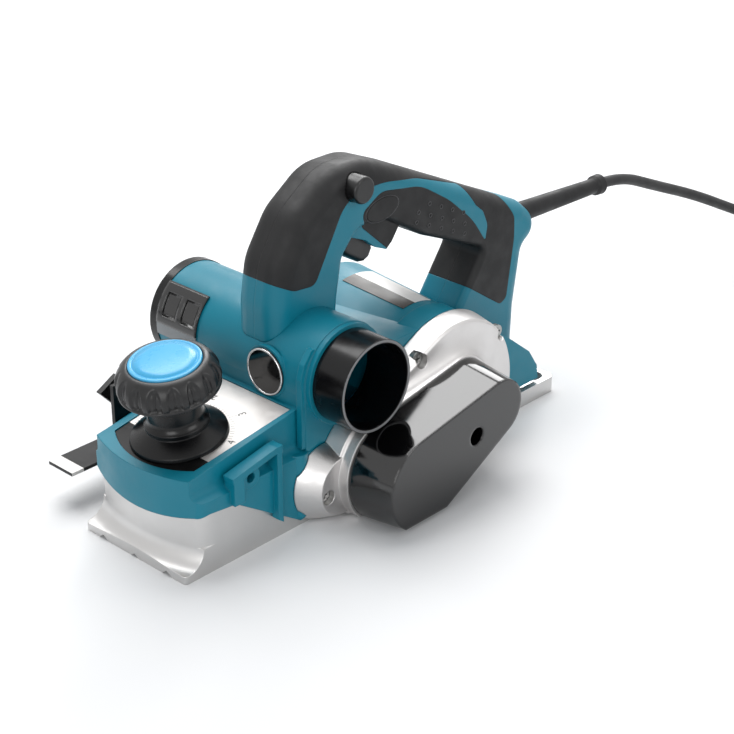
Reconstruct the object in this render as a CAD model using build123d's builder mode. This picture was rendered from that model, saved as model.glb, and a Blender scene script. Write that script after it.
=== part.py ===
"""Electric hand planer for 82 mm blades, as an assembly of separate named pieces.

Frame: +X towards the knob end, +Y towards the belt cover, +Z up. The origin is on the rear sole,
halfway along and across the base. All sizes are in millimetres.
"""

from build123d import *
from math import atan2, cos, hypot, pi, radians, sin, tan
import os

os.makedirs("parts", exist_ok=True)

# ---- driving dimensions -------------------------------------------------------------------
BLADE_W = 82.0  # planing width
BASE_L = 297.0  # length over both soles
BASE_HALF_W = BLADE_W / 2  # the blades are flush with the sides of the sole
CUT_R = 25.0  # radius that the blade edges sweep
DRUM_AXIS = (21.0, CUT_R)  # x and z: the edges come level with the rear sole
MOTOR_AXIS = (-39.0, 46.0)
DUCT_AXIS = (35.5, 79.3)  # chip duct and its nozzle
TILT = 9.0  # forward lean of the deck, the knob and the front shoe's guide, degrees
DECK_POINT = (BASE_L / 2 - 34.5, 57.3)  # where the knob axis meets the scale plate
DEPTH_MAX = 4.0  # planing depth, also the travel of the front shoe
REBATE_MAX = 25.0
COVER_Y = BASE_HALF_W + 47.0  # outer face of the belt cover
CASE_Y = BASE_HALF_W + 19.0  # outer face of the gear case
DUCT_END_Y = -BASE_HALF_W - 39.0
HANDLE_HALF_W = 16.5

# ---- clearances ---------------------------------------------------------------------------
RUN = 0.05  # radial play of a shaft in its bearing
GAP = 0.3  # between pieces that move past each other
DRUM_GAP = 2.0  # from the blade circle to the chamber wall
SEAT_GAP = 0.2  # under a plate or label that follows a curved wall
SOFT = 2.5  # rubber over the handle

BASE_FRONT_X = BASE_L / 2
BASE_REAR_X = -BASE_L / 2
CHAMBER_R = CUT_R + DRUM_GAP


def at_y(y):
    """Side-view drawing plane at y: its own x and y are the model's X and Z."""
    return Plane(origin=(0, y, 0), x_dir=(1, 0, 0), z_dir=(0, -1, 0))


def slab(outline, y0, y1, mode=Mode.ADD):
    """Side-view outline as a straight prism from y0 to y1."""
    with BuildSketch(at_y(y0)) as face:
        with BuildLine():
            Polyline(*outline, close=True)
        make_face()
    extrude(face.sketch, amount=y0 - y1, mode=mode)


def disc(axis, radius, y0, y1, mode=Mode.ADD):
    """Cylinder along Y about a side-view point."""
    with BuildSketch(at_y(y0)) as face:
        with Locations(axis):
            Circle(radius)
    extrude(face.sketch, amount=y0 - y1, mode=mode)


def tube(axis, outer, inner, y0, y1, mode=Mode.ADD):
    """Ring along Y about a side-view point."""
    with BuildSketch(at_y(y0)) as face:
        with Locations(axis):
            Circle(outer)
            Circle(inner, mode=Mode.SUBTRACT)
    extrude(face.sketch, amount=y0 - y1, mode=mode)


def block(x0, x1, y0, y1, z0, z1, mode=Mode.ADD):
    """Straight box between two corners."""
    with BuildSketch(Plane.XY.offset(z0)) as face:
        with Locations(((x0 + x1) / 2, (y0 + y1) / 2)):
            Rectangle(x1 - x0, y1 - y0)
    extrude(face.sketch, amount=z1 - z0, mode=mode)


def belt_outline(r_drum, r_motor, motor_at=MOTOR_AXIS):
    """Side-view face round two circles, one on the drum axis and one by the motor, and their tangents."""
    reach = hypot(motor_at[0] - DRUM_AXIS[0], motor_at[1] - DRUM_AXIS[1])
    heading = atan2(motor_at[1] - DRUM_AXIS[1], motor_at[0] - DRUM_AXIS[0])
    spread = pi / 2 - atan2(r_drum - r_motor, (reach**2 - (r_drum - r_motor) ** 2) ** 0.5)
    low, high = heading + spread, heading - spread

    def on(axis, radius, angle):
        return (axis[0] + radius * cos(angle), axis[1] + radius * sin(angle))

    with BuildSketch() as face:
        with BuildLine():
            a = on(DRUM_AXIS, r_drum, low)
            b = on(DRUM_AXIS, r_drum, heading + pi)
            c = on(DRUM_AXIS, r_drum, high)
            d = on(motor_at, r_motor, high)
            e = on(motor_at, r_motor, heading)
            f = on(motor_at, r_motor, low)
            ThreePointArc(a, b, c)
            Line(c, d)
            ThreePointArc(d, e, f)
            Line(f, a)
        make_face()
    return face.sketch


def finish(part, name):
    part.label = name
    export_step(part, f"parts/{name}.step")


# ---- knob axis ----------------------------------------------------------------------------
LEAN = (sin(radians(TILT)), cos(radians(TILT)))
KNOB_UP = (LEAN[0], 0, LEAN[1])
KNOB_OUT = (LEAN[1], 0, -LEAN[0])
DECK_AT = (DECK_POINT[0], 0, DECK_POINT[1])


def deck_plane(height):
    """Plane square to the knob axis, at a height above the scale plate."""
    foot = (DECK_AT[0] + height * LEAN[0], 0, DECK_AT[2] + height * LEAN[1])
    return Plane(origin=foot, x_dir=KNOB_OUT, z_dir=KNOB_UP)


MOTOR_SECTION = Plane(origin=(MOTOR_AXIS[0], 0, MOTOR_AXIS[1]), x_dir=(0, 1, 0), z_dir=(1, 0, 0))
MOTOR_LINE = Axis((MOTOR_AXIS[0], 0, MOTOR_AXIS[1]), (0, 1, 0))
KNOB_SECTION = Plane(origin=DECK_AT, x_dir=KNOB_OUT, z_dir=(0, -1, 0))
KNOB_AXIS = Axis(origin=DECK_AT, direction=KNOB_UP)


def deck_z(x, above=0.0):
    """Height of the deck plane, raised square to itself by above, at x."""
    return DECK_POINT[1] + above / LEAN[1] - (x - DECK_POINT[0]) * tan(radians(TILT))


# ---- soles --------------------------------------------------------------------------------
SOLE_T = 6.0
RIM_H = 10.0
RIM_T = 4.0
FOOT_SLOT_X = (BASE_REAR_X + 3.5, BASE_REAR_X + 36.5)
FOOT_SLOT_Y = (-BASE_HALF_W + 7.0, -BASE_HALF_W + 17.0)
FOOT_PIN_AT = (BASE_REAR_X + 31.5, 5.0)
FOOT_PIN_R = 1.5

with BuildPart() as rear_base:
    with BuildSketch() as sole_face:
        with Locations((BASE_REAR_X / 2 + 5, 0)):
            Rectangle(-BASE_REAR_X + 10, 2 * BASE_HALF_W)
        fillet(sole_face.vertices().group_by(Axis.X)[0], radius=4)
    extrude(amount=RIM_H)
    with BuildSketch(Plane.XY.offset(SOLE_T)):
        with Locations((BASE_REAR_X / 2 - 8, 0)):
            RectangleRounded(-BASE_REAR_X - 24, 2 * (BASE_HALF_W - RIM_T), 5)
    extrude(amount=RIM_H, mode=Mode.SUBTRACT)
    disc(DRUM_AXIS, CHAMBER_R, -BASE_HALF_W - 1, BASE_HALF_W + 1, Mode.SUBTRACT)
    block(*FOOT_SLOT_X, *FOOT_SLOT_Y, -1, RIM_H, Mode.SUBTRACT)
    disc(FOOT_PIN_AT, FOOT_PIN_R, FOOT_SLOT_Y[0] - 4, FOOT_SLOT_Y[1] + 4, Mode.SUBTRACT)
finish(rear_base.part, "rear_base")

with BuildPart() as rear_foot:
    foot_low = 0.6
    foot_outline = (
        (FOOT_PIN_AT[0] + 3.5, FOOT_PIN_AT[1] + 3),
        (FOOT_PIN_AT[0] - 6, FOOT_PIN_AT[1] + 3.5),
        (FOOT_SLOT_X[0] + 3, foot_low + 3.5),
        (FOOT_SLOT_X[0] + 1, foot_low),
        (FOOT_PIN_AT[0], foot_low),
        (FOOT_PIN_AT[0] + 3.5, FOOT_PIN_AT[1] - 2.5),
    )
    slab(foot_outline, FOOT_SLOT_Y[0] + 0.5, FOOT_SLOT_Y[1] - 0.5)
    disc(FOOT_PIN_AT, FOOT_PIN_R + RUN, FOOT_SLOT_Y[0], FOOT_SLOT_Y[1], Mode.SUBTRACT)
finish(rear_foot.part, "rear_foot")

with BuildPart() as rear_foot_pin:
    disc(FOOT_PIN_AT, FOOT_PIN_R, FOOT_SLOT_Y[0] - 3.5, FOOT_SLOT_Y[1] + 3.5)
finish(rear_foot_pin.part, "rear_foot_pin")

SHOE_HALF_W = BASE_HALF_W - 1.3
SHOE_THROAT_X = 37.0
SHOE_TOP_Z = 36.5
SHOE_FACE_X = BASE_FRONT_X - 5.1  # front wall at mid-width
SHOE_CORNER = (BASE_FRONT_X - 11.3, SHOE_HALF_W - 4.7)
SHOE_ROUND = 2.0  # upright corners of the shoe and of the nose
SHOE_ROOM = 1.0  # round the shoe, whose slide leans forward
BOW_R = (SHOE_CORNER[1] ** 2 + (SHOE_FACE_X - SHOE_CORNER[0]) ** 2) / (2 * (SHOE_FACE_X - SHOE_CORNER[0]))
TOE_T = 4.5
COVE_R = 11.0
COVE_FOOT = SHOE_FACE_X
SHOE_WALL = 4.0
SPINDLE_R = 5.0
GROOVES = ((-25.0, 3.5), (0.0, 2.5), (25.0, 3.5))  # y and half-width of the chamfering grooves
GROOVE_STEEP = 0.7


def nose_outline(half_w, corner, face_x, back_x):
    """Plan of the nose: straight sides, rounded corners and a bowed front."""
    with BuildSketch() as plan:
        with BuildLine():
            Line((back_x, -half_w), (corner[0] - 12, -half_w))
            Spline((corner[0] - 12, -half_w), (corner[0], -corner[1]), tangents=((1, 0), (0.25, 1)))
            ThreePointArc((corner[0], -corner[1]), (face_x, 0), corner)
            Spline(corner, (corner[0] - 12, half_w), tangents=((-0.25, 1), (-1, 0)))
            Line((corner[0] - 12, half_w), (back_x, half_w))
            Line((back_x, half_w), (back_x, -half_w))
        make_face()
        fillet(plan.vertices().filter_by(lambda v: v.X > corner[0] - 1), radius=SHOE_ROUND)
    return plan.sketch


with BuildPart() as front_base:
    with BuildSketch() as toe:
        with Locations(((SHOE_THROAT_X + BASE_FRONT_X) / 2, 0)):
            Rectangle(BASE_FRONT_X - SHOE_THROAT_X, 2 * SHOE_HALF_W)
        fillet(toe.vertices().group_by(Axis.X)[-1], radius=2.5)
    extrude(amount=TOE_T)
    upper = nose_outline(SHOE_HALF_W, SHOE_CORNER, SHOE_FACE_X, SHOE_THROAT_X)
    extrude(upper, amount=SHOE_TOP_Z)
    # the toe sweeps up into the bowed front wall
    with BuildSketch(at_y(0), mode=Mode.PRIVATE) as cove:
        with BuildLine():
            Line((COVE_FOOT, TOE_T), (COVE_FOOT + COVE_R, TOE_T))
            RadiusArc((COVE_FOOT + COVE_R, TOE_T), (COVE_FOOT, TOE_T + COVE_R), COVE_R)
            Line((COVE_FOOT, TOE_T + COVE_R), (COVE_FOOT - 8, TOE_T + COVE_R))
            Line((COVE_FOOT - 8, TOE_T + COVE_R), (COVE_FOOT - 8, TOE_T))
            Line((COVE_FOOT - 8, TOE_T), (COVE_FOOT, TOE_T))
        make_face()
    ring = revolve(cove.sketch, axis=Axis((SHOE_FACE_X - BOW_R, 0, 0), (0, 0, 1)), mode=Mode.PRIVATE)
    toe_box = Plane.XY.offset(TOE_T) * extrude(toe.sketch, amount=COVE_R, mode=Mode.PRIVATE)
    add(ring & toe_box)
    # hollow above the sole plate
    inner_corner = (SHOE_CORNER[0] - SHOE_WALL, SHOE_CORNER[1] - SHOE_WALL)
    inner = nose_outline(SHOE_HALF_W - SHOE_WALL, inner_corner, SHOE_FACE_X - SHOE_WALL, 30)
    extrude(Plane.XY.offset(SOLE_T) * inner, amount=SHOE_TOP_Z, mode=Mode.SUBTRACT)
    # guide boss for the spindle, square to the deck
    with BuildSketch(deck_plane(-DECK_POINT[1] + 4)):
        Circle(SPINDLE_R + 5)
    extrude(amount=28)
    # the side walls run out towards the throat
    slab(
        ((20, 8), (62, 8), (108, SHOE_TOP_Z), (108, 60), (20, 60)),
        -BASE_HALF_W,
        BASE_HALF_W,
        Mode.SUBTRACT,
    )
    with BuildSketch(deck_plane(-DECK_POINT[1] + 12)):
        Circle(SPINDLE_R + GAP)
    extrude(amount=60, mode=Mode.SUBTRACT)
    # bevelled throat and the grooves for chamfering edges
    slab(((30, -1), (SHOE_THROAT_X - 0.5, -1), (46, 9), (30, 9)), -BASE_HALF_W, BASE_HALF_W, Mode.SUBTRACT)
    for groove_y, groove_w in GROOVES:
        with BuildSketch(Plane.YZ.offset(SHOE_THROAT_X - 2)):
            with BuildLine():
                Polyline(
                    (groove_y - groove_w, -0.01),
                    (groove_y, groove_w * GROOVE_STEEP),
                    (groove_y + groove_w, -0.01),
                    close=True,
                )
            make_face()
        extrude(amount=BASE_FRONT_X - SHOE_THROAT_X + 4, mode=Mode.SUBTRACT)
finish(front_base.part, "front_base")

# ---- main housing -------------------------------------------------------------------------
DUCT_R = 28.5
DUCT_BORE = 25.0
MOTOR_BORE = 34.0
BARREL_R = 40.4  # motor barrel at the gear case
BARREL_R_END = 46.5  # motor barrel at its far side
COLLAR_Y = BASE_HALF_W - 13.5  # a collar runs round the barrel from here to the gear case
COLLAR_UP = 0.8
SEAT_Z = RIM_H  # the housing stands on the rim of the rear base
NOSE_BACK_X = 50.0
RIM_UP = 1.6  # frame round the scale plate
NOSE_WALL = 1.8
NOSE_CORNER = (SHOE_CORNER[0] + SHOE_ROOM + 0.9, SHOE_CORNER[1] + SHOE_ROOM + NOSE_WALL)
NOSE_FACE_X = SHOE_FACE_X + SHOE_ROOM + 2.1
PORT_AT = (BASE_FRONT_X - 44.5, 45.0)  # threaded holes for guides, one in each side
PORT_R = 2.75
SKIRT_IN = SHOE_HALF_W + GAP
SKIRT_OUT = SKIRT_IN + 1.5
RIM_HALF_W = SKIRT_OUT - 5.7  # rim of the deck
NOSE_LEAN_Z = (42.5, 48.5)  # the nose's sides curve in to the rim between these heights

nose_side = (
    (NOSE_BACK_X, 5),
    (69, 4),
    (95, 21),
    (PORT_AT[0] + 10, 33.5),
    (BASE_FRONT_X - 16.5, 35.5),
    (BASE_FRONT_X - 9.5, 34.5),
    (BASE_FRONT_X + 1.5, 28.5),
    (BASE_FRONT_X + 1.5, deck_z(BASE_FRONT_X + 1.5, RIM_UP)),
    (NOSE_BACK_X, deck_z(NOSE_BACK_X, RIM_UP)),
)
REAR_LEG_X = MOTOR_AXIS[0] - BARREL_R_END  # the handle's rear leg stands behind the motor barrel

HANDLE_FOOT_Z = (84.0, SEAT_Z + 2.0)  # front and rear leg
HANDLE_OUTLINE = [
    (60, HANDLE_FOOT_Z[1]),
    (60, 112),
    (56, 136),
    (40, 160),
    (14, 177.5),
    (-12, 177.5),
    (-38, 166.5),
    (-121, 127),
    (-146, 115.5),
    (-158, 105),
    (-157.6, 93),
    (-147.5, 86.5),
    (-142, 52),
    (-140.5, HANDLE_FOOT_Z[1]),
]
HANDLE_ROUNDS = [0, 40, 30, 30, 30, 30, 40, 30, 14, 12, 12, 6, 40, 0]
LOOP_OUTLINE = [
    (REAR_LEG_X - 9.5, HANDLE_FOOT_Z[1] - 10),
    (REAR_LEG_X + 3.5, 62),
    (REAR_LEG_X - 23, 98.5),
    (-55, 122),
    (-37, 133),
    (-20, 143),
    (-2, 141),
    (9, 129),
    (13, 108),
    (15, HANDLE_FOOT_Z[0]),
    (80, HANDLE_FOOT_Z[0]),
    (80, HANDLE_FOOT_Z[1] - 10),
]
LOOP_ROUNDS = [0, 20, 5, 30, 6, 12, 12, 12, 30, 0, 0, 0]
EDGE_ROUND = 11.0
LOOP_ROUND = 4.0


def handle_body(inset):
    """D handle with rounded edges, smaller all round by inset."""
    with BuildPart() as body:
        with BuildSketch(at_y(0)):
            with BuildLine():
                FilletPolyline(*HANDLE_OUTLINE, radius=HANDLE_ROUNDS, close=True)
            make_face()
            if inset:
                offset(amount=-inset, kind=Kind.ARC)
        extrude(amount=HANDLE_HALF_W - inset, both=True)
        rim = body.faces().filter_by(Axis.Y).edges()
        upper_rim = rim.filter_by(lambda e: e.center().Z > HANDLE_FOOT_Z[1] + inset + 1)
        fillet(upper_rim, radius=EDGE_ROUND - inset)
        with BuildSketch(at_y(0)):
            with BuildLine():
                FilletPolyline(*LOOP_OUTLINE, radius=LOOP_ROUNDS, close=True)
            make_face()
            if inset:
                offset(amount=inset, kind=Kind.ARC)
        extrude(amount=HANDLE_HALF_W, both=True, mode=Mode.SUBTRACT)
        loop_rim = body.faces().filter_by(Axis.Y).edges()
        in_loop = loop_rim.filter_by(lambda e: REAR_LEG_X - 25 < e.center().X < 20 and e.center().Z < 143.6)
        fillet(in_loop, radius=LOOP_ROUND - inset)
    return body.part


def deck_tray(inset):
    """Outline of the scale plate on the deck, smaller all round by inset."""
    half = RIM_HALF_W - 2.8
    back = (BADGE_X + 1.6 - DECK_POINT[0]) / LEAN[1]
    with BuildSketch(deck_plane(0)) as plate:
        with BuildLine():
            Polyline((18, -half + 2), (back, -half), (back, half), (18, half - 2))
            ThreePointArc((18, half - 2), (28, 0), (18, -half + 2))
        make_face()
        offset(amount=-inset, kind=Kind.INTERSECTION)
    return plate.sketch


def barrel_r(y):
    """Outer radius of the motor barrel, without its collar."""
    return BARREL_R + (BARREL_R_END - BARREL_R) * (BASE_HALF_W - y) / (2 * BASE_HALF_W)


def slab_of(outline, y0, y1):
    """Side-view outline as a prism of its own, for cutting or keeping parts of others."""
    with BuildPart() as prism:
        slab(outline, y0, y1)
    return prism.part


FRAME_X = (PORT_AT[0] - 19.5, PORT_AT[0] + 14.0)
FRAME_RIBS = (
    (
        (FRAME_X[1], 47.5),
        (FRAME_X[1] + 1, 51.0),
        (FRAME_X[0] + 3.5, 57.0),
        (FRAME_X[0] - 0.5, 57.0),
        (FRAME_X[0] - 0.5, 52.5),
        (FRAME_X[0] + 3.5, 53.5),
    ),
    ((FRAME_X[0] + 3.5, 56), (FRAME_X[0] + 3.5, 14), (FRAME_X[0], 11.5), (FRAME_X[0], 56)),
    ((FRAME_X[1] - 7, 49), (FRAME_X[1] - 7, 35), (FRAME_X[1], 35), (FRAME_X[1], 49)),
)
RIB_OUT = 3.5  # how far the guide frame stands out from the skirt
PILLAR_AT = (67.0, BASE_HALF_W - 4.0)
PILLAR_R = 6.2
PILLAR_Z = (6.0, 43.5)
WALL_RIB_X = 66.0
BADGE_AT = (12.5, 80.6)
BADGE_R = 13.3
BADGE_X = 64.0
NOZZLE_R = 25.6
NOZZLE_IN_Y = BASE_HALF_W - 5.0
NOZZLE_OUT_Y = BASE_HALF_W + 24.0

handle_whole = handle_body(0)
handle_core = handle_body(SOFT)

with BuildPart() as main_housing:
    # motor barrel, a little wider away from the gear case
    with BuildSketch(MOTOR_SECTION, mode=Mode.PRIVATE) as cone:
        with BuildLine():
            Polyline(
                (-BASE_HALF_W, 0),
                (BASE_HALF_W, 0),
                (BASE_HALF_W, barrel_r(BASE_HALF_W) + COLLAR_UP),
                (COLLAR_Y, barrel_r(COLLAR_Y) + COLLAR_UP),
                (COLLAR_Y, barrel_r(COLLAR_Y)),
                (-BASE_HALF_W, BARREL_R_END),
                close=True,
            )
        make_face()
    revolve(cone.sketch, axis=MOTOR_LINE)
    # chip duct across the body, its front wall running straight down to the deck
    disc(DUCT_AXIS, DUCT_R, DUCT_END_Y + 6, BASE_HALF_W)
    duct_front = (DUCT_AXIS[0] + DUCT_R - 0.5, DUCT_AXIS[1])
    slab(
        ((MOTOR_AXIS[0], 12), (63.5, 12), duct_front, (0, 84), (MOTOR_AXIS[0], 84)),
        -BASE_HALF_W,
        BASE_HALF_W,
    )
    # rear body
    rear_slope = ((-70, 74), (-107, 48), (-126, 33), (-134, 21), (-135.5, 12))
    slab(
        ((MOTOR_AXIS[0], 12), (MOTOR_AXIS[0], 80), *rear_slope),
        -BASE_HALF_W + 3,
        BASE_HALF_W - 3,
    )
    # nose that carries the deck, its sides leaning in towards the top
    with BuildSketch(Plane.YZ.offset(NOSE_BACK_X), mode=Mode.PRIVATE) as nose_section:
        with BuildLine():
            for side in (1, -1):
                Line((0, 0), (side * SKIRT_OUT, 0))
                Line((side * SKIRT_OUT, 0), (side * SKIRT_OUT, NOSE_LEAN_Z[0]))
                skirt_top = (side * SKIRT_OUT, NOSE_LEAN_Z[0])
                rim_low = (side * RIM_HALF_W, NOSE_LEAN_Z[1])
                Spline(skirt_top, rim_low, tangents=((-side, 0.4), (0, 1)))
                Line(rim_low, (side * RIM_HALF_W, 72))
                Line((side * RIM_HALF_W, 72), (0, 72))
        make_face()
    long_nose = extrude(nose_section.sketch, amount=110, mode=Mode.PRIVATE)
    nose_plan = nose_outline(SKIRT_OUT, NOSE_CORNER, NOSE_FACE_X, NOSE_BACK_X)
    plan_nose = extrude(nose_plan, amount=90, mode=Mode.PRIVATE)
    add(long_nose & plan_nose & slab_of(nose_side, -60, 60))
    # everything below the seat is left to the soles
    block(-200, 30, -60, 60, -5, SEAT_Z, Mode.SUBTRACT)
    # drum chamber and the way up into the duct
    disc(DRUM_AXIS, CHAMBER_R, -BASE_HALF_W - 1, BASE_HALF_W + 1, Mode.SUBTRACT)
    block(18, 50, -BASE_HALF_W + 7, BASE_HALF_W - 7, DRUM_AXIS[1], DUCT_AXIS[1], Mode.SUBTRACT)
    disc(DUCT_AXIS, DUCT_BORE, DUCT_END_Y, BASE_HALF_W + 1, Mode.SUBTRACT)
    # motor bore
    disc(MOTOR_AXIS, MOTOR_BORE, -BASE_HALF_W - 1, BASE_HALF_W + 1, Mode.SUBTRACT)
    # flat seat for the badge
    with BuildSketch(Plane.YZ.offset(DUCT_AXIS[0] + DUCT_BORE + 1)):
        with Locations(BADGE_AT):
            Circle(BADGE_R + 1.2)
    extrude(amount=BADGE_X - DUCT_AXIS[0] - DUCT_BORE - 1)
    # moulded hollows: behind the duct, in the rear body and under the deck
    slab(
        ((-70, SEAT_Z + 4), (-82, 58), (-104, 44), (-122, 30), (-130, 20), (-132, SEAT_Z + 4)),
        -BASE_HALF_W + 5.5,
        BASE_HALF_W - 5.5,
        Mode.SUBTRACT,
    )
    deck_end = BASE_FRONT_X - 12.5
    slab(
        ((66, 12), (66, deck_z(66, -4.5)), (deck_end, deck_z(deck_end, -4.5)), (deck_end, 34), (110, 12)),
        -RIM_HALF_W + 2.8,
        RIM_HALF_W - 2.8,
        Mode.SUBTRACT,
    )
    # deck: a shallow tray for the scale plate, with a hole for the spindle
    tray = deck_tray(0.2)
    extrude(tray, amount=6, mode=Mode.SUBTRACT)
    with BuildSketch(deck_plane(-12)):
        Circle(SPINDLE_R + RUN)
    extrude(amount=24, mode=Mode.SUBTRACT)
    # screw pillar and wall rib beside the gear case
    with BuildSketch(Plane.XY.offset(PILLAR_Z[0])):
        with Locations(PILLAR_AT):
            Circle(PILLAR_R)
    extrude(amount=PILLAR_Z[1] - PILLAR_Z[0])
    slab(
        ((55, 45), (WALL_RIB_X, 45), (WALL_RIB_X, 85), (WALL_RIB_X - 2.5, 93), (58, 100), (52, 99)),
        BASE_HALF_W - 4.2,
        BASE_HALF_W - 0.4,
    )
    disc(DUCT_AXIS, DUCT_BORE, BASE_HALF_W - 7, BASE_HALF_W + 1, Mode.SUBTRACT)
    # guide frame and threaded port on each side of the nose
    for side in (1, -1):
        for rib in FRAME_RIBS:
            slab(rib, side * (SKIRT_OUT - 4), side * (SKIRT_OUT + RIB_OUT))
        disc(PORT_AT, PORT_R + 3.5, side * (SKIRT_OUT - 6), side * (SKIRT_OUT + 0.5))
        disc(PORT_AT, PORT_R, side * (SKIRT_OUT - 14), side * (SKIRT_OUT + 5), Mode.SUBTRACT)
    # room for the front shoe and its travel
    room_corner = (SHOE_CORNER[0] + SHOE_ROOM, SHOE_CORNER[1] + SHOE_ROOM)
    shoe_plan = nose_outline(SKIRT_IN, room_corner, SHOE_FACE_X + SHOE_ROOM, 30)
    shoe_column = extrude(shoe_plan, amount=60, mode=Mode.PRIVATE)
    room_top = SHOE_TOP_Z + DEPTH_MAX + 1
    room_side = ((30, 0), (160, 0), (160, room_top), (106, room_top), (60, 13.5), (30, 13.5))
    add(shoe_column & slab_of(room_side, -60, 60), mode=Mode.SUBTRACT)
    # ledge where the nozzle enters the duct
    tube(DUCT_AXIS, DUCT_R - 0.6, NOZZLE_R, BASE_HALF_W - 6, BASE_HALF_W + 3)
    disc(DUCT_AXIS, NOZZLE_R, NOZZLE_IN_Y, BASE_HALF_W + 4, Mode.SUBTRACT)
    # the rear leg of the handle stands in the rear body
    rear_leg_room = slab_of(((-70, 0), (-70, 110), (-170, 110), (-170, 0)), -30, 30)
    add(handle_whole & rear_leg_room, mode=Mode.SUBTRACT)
finish(main_housing.part, "main_housing")

with BuildPart() as nozzle:
    tube(DUCT_AXIS, NOZZLE_R, NOZZLE_R - 2, NOZZLE_IN_Y, NOZZLE_OUT_Y)
finish(nozzle.part, "nozzle")

# ---- cord guard ---------------------------------------------------------------------------
GUARD_ROOT = (-150.0, 0.0, 102.0)
GUARD_TIP = (-240.0, 0.0, 97.5)
guard_dir = Vector(*GUARD_TIP) - Vector(*GUARD_ROOT)
GUARD_L = guard_dir.length
guard_plane = Plane(origin=GUARD_ROOT, x_dir=guard_dir, z_dir=(0, -1, 0))
with BuildPart() as cord_guard:
    with BuildSketch(guard_plane, mode=Mode.PRIVATE) as profile:
        with BuildLine():
            Polyline(
                (0, 0),
                (0, 8.5),
                (3, 8.5),
                (3, 6.6),
                (12, 6.2),
                (GUARD_L - 8, 4.9),
                (GUARD_L - 6, 6.3),
                (GUARD_L - 1, 6.5),
                (GUARD_L, 5.5),
                (GUARD_L, 0),
                close=True,
            )
        make_face()
    revolve(profile.sketch, axis=Axis(origin=GUARD_ROOT, direction=guard_dir))
finish(cord_guard.part, "cord_guard")

# ---- handle -------------------------------------------------------------------------------
RUBBER_OUTLINE = [
    (90, 143),
    (46, 121.5),
    (31, 120),
    (20, 139),
    (7, 161.5),
    (-20, 163.5),
    (-50, 157),
    (-91, 141),
    (-98.5, 128),
    (-105, 122.5),
    (-109.5, 113),
    (-107.8, 103.5),
    (-96, 120),
    (-75, 138),
    (-52, 152.5),
    (-20, 158.5),
    (-4.5, 150),
    (-8, 140),
    (-28, 122),
    (-60, 101.5),
    (-123.5, 57.8),
    (-129, 60.5),
    (-134.5, 97),
    (-134, 111),
    (-124, 129),
    (-120, 190),
    (90, 190),
]
RUBBER_ROUNDS = [4, 12, 6, 60, 20, 60, 80, 8, 5, 5, 8, 0.8, 60, 60, 40, 12, 5, 5, 4, 4, 4, 4, 40, 12, 4, 4, 4]
CAVITY_HALF_W = 11.0
TRIGGER_HALF_W = 9.0
CHEEK_HALF_W = 13.5  # walls on both sides of the trigger
TRIGGER_PIN_AT = (-4.0, 149.0)
PIN_R = 1.5
LOCK_AT = (0.0, 166.0)
LOCK_R = 7.5
LOCK_OUT = 7.0
LOCK_STEM_R = 3.0
HANDLE_SCREWS = ((46.0, 112.0), (-112.0, 51.0))

with BuildPart() as rubber_prism:
    with BuildSketch(at_y(-30)):
        with BuildLine():
            FilletPolyline(*RUBBER_OUTLINE, radius=RUBBER_ROUNDS, close=True)
        make_face()
    extrude(amount=-60)
left_half = slab_of(((-200, 0), (100, 0), (100, 200), (-200, 200)), 0, 40)
right_half = slab_of(((-200, 0), (100, 0), (100, 200), (-200, 200)), -40, 0)
rubber_whole = (handle_whole - handle_core) & rubber_prism.part
below_handle = slab_of(((-30, 0), (100, 0), (100, 84), (-30, 84)), -40, 40)
with BuildPart() as duct_solid:
    disc(DUCT_AXIS, DUCT_R, -CASE_Y, CASE_Y)
handle_base = handle_whole - rubber_whole - below_handle - duct_solid.part
cavity_top = ((40, 118), (14, 150), (-8, 164), (-36, 156), (-118, 117), (-136, 104))
cavity_under = ((-136, 92), (-122, 92), (-100, 112), (-45, 141), (-22, 146), (0, 146), (20, 128), (24, 114))
cavity = slab_of((*cavity_top, *cavity_under), -CAVITY_HALF_W, CAVITY_HALF_W)
slot_half_w = TRIGGER_HALF_W + GAP
trigger_slot = slab_of(((-41, 115), (6, 115), (6, 152), (-41, 148)), -slot_half_w, slot_half_w)
cheek_front = ((3, 148), (5, 139), (-2, 136), (-11, 132), (-18, 126), (-27, 122))
cheek_outline = (*cheek_front, (-31.5, 125.5), (-37, 133), (-46, 146))
guard_cheeks = slab_of(cheek_outline, -CHEEK_HALF_W, CHEEK_HALF_W) - handle_whole
handle_base = handle_base + (guard_cheeks - rubber_prism.part)
rubber_whole = rubber_whole + (guard_cheeks & rubber_prism.part)
with BuildPart() as handle_holes:
    disc(LOCK_AT, LOCK_R + GAP, 8, 40)
    disc(LOCK_AT, LOCK_STEM_R + GAP, -2, 8)
    disc(TRIGGER_PIN_AT, PIN_R, -CAVITY_HALF_W - 2, CAVITY_HALF_W + 2)
    for spot in HANDLE_SCREWS:
        disc(spot, 1.7, -20, 8)
        disc(spot, 3.4, -20, -12)
handle_base = handle_base - cavity - trigger_slot - handle_holes.part - cord_guard.part
rubber_whole = rubber_whole - trigger_slot - handle_holes.part
for half, name in ((left_half, "left"), (right_half, "right")):
    finish(handle_base & half, f"handle_{name}")
    finish(rubber_whole & half, f"grip_{name}")

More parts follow.
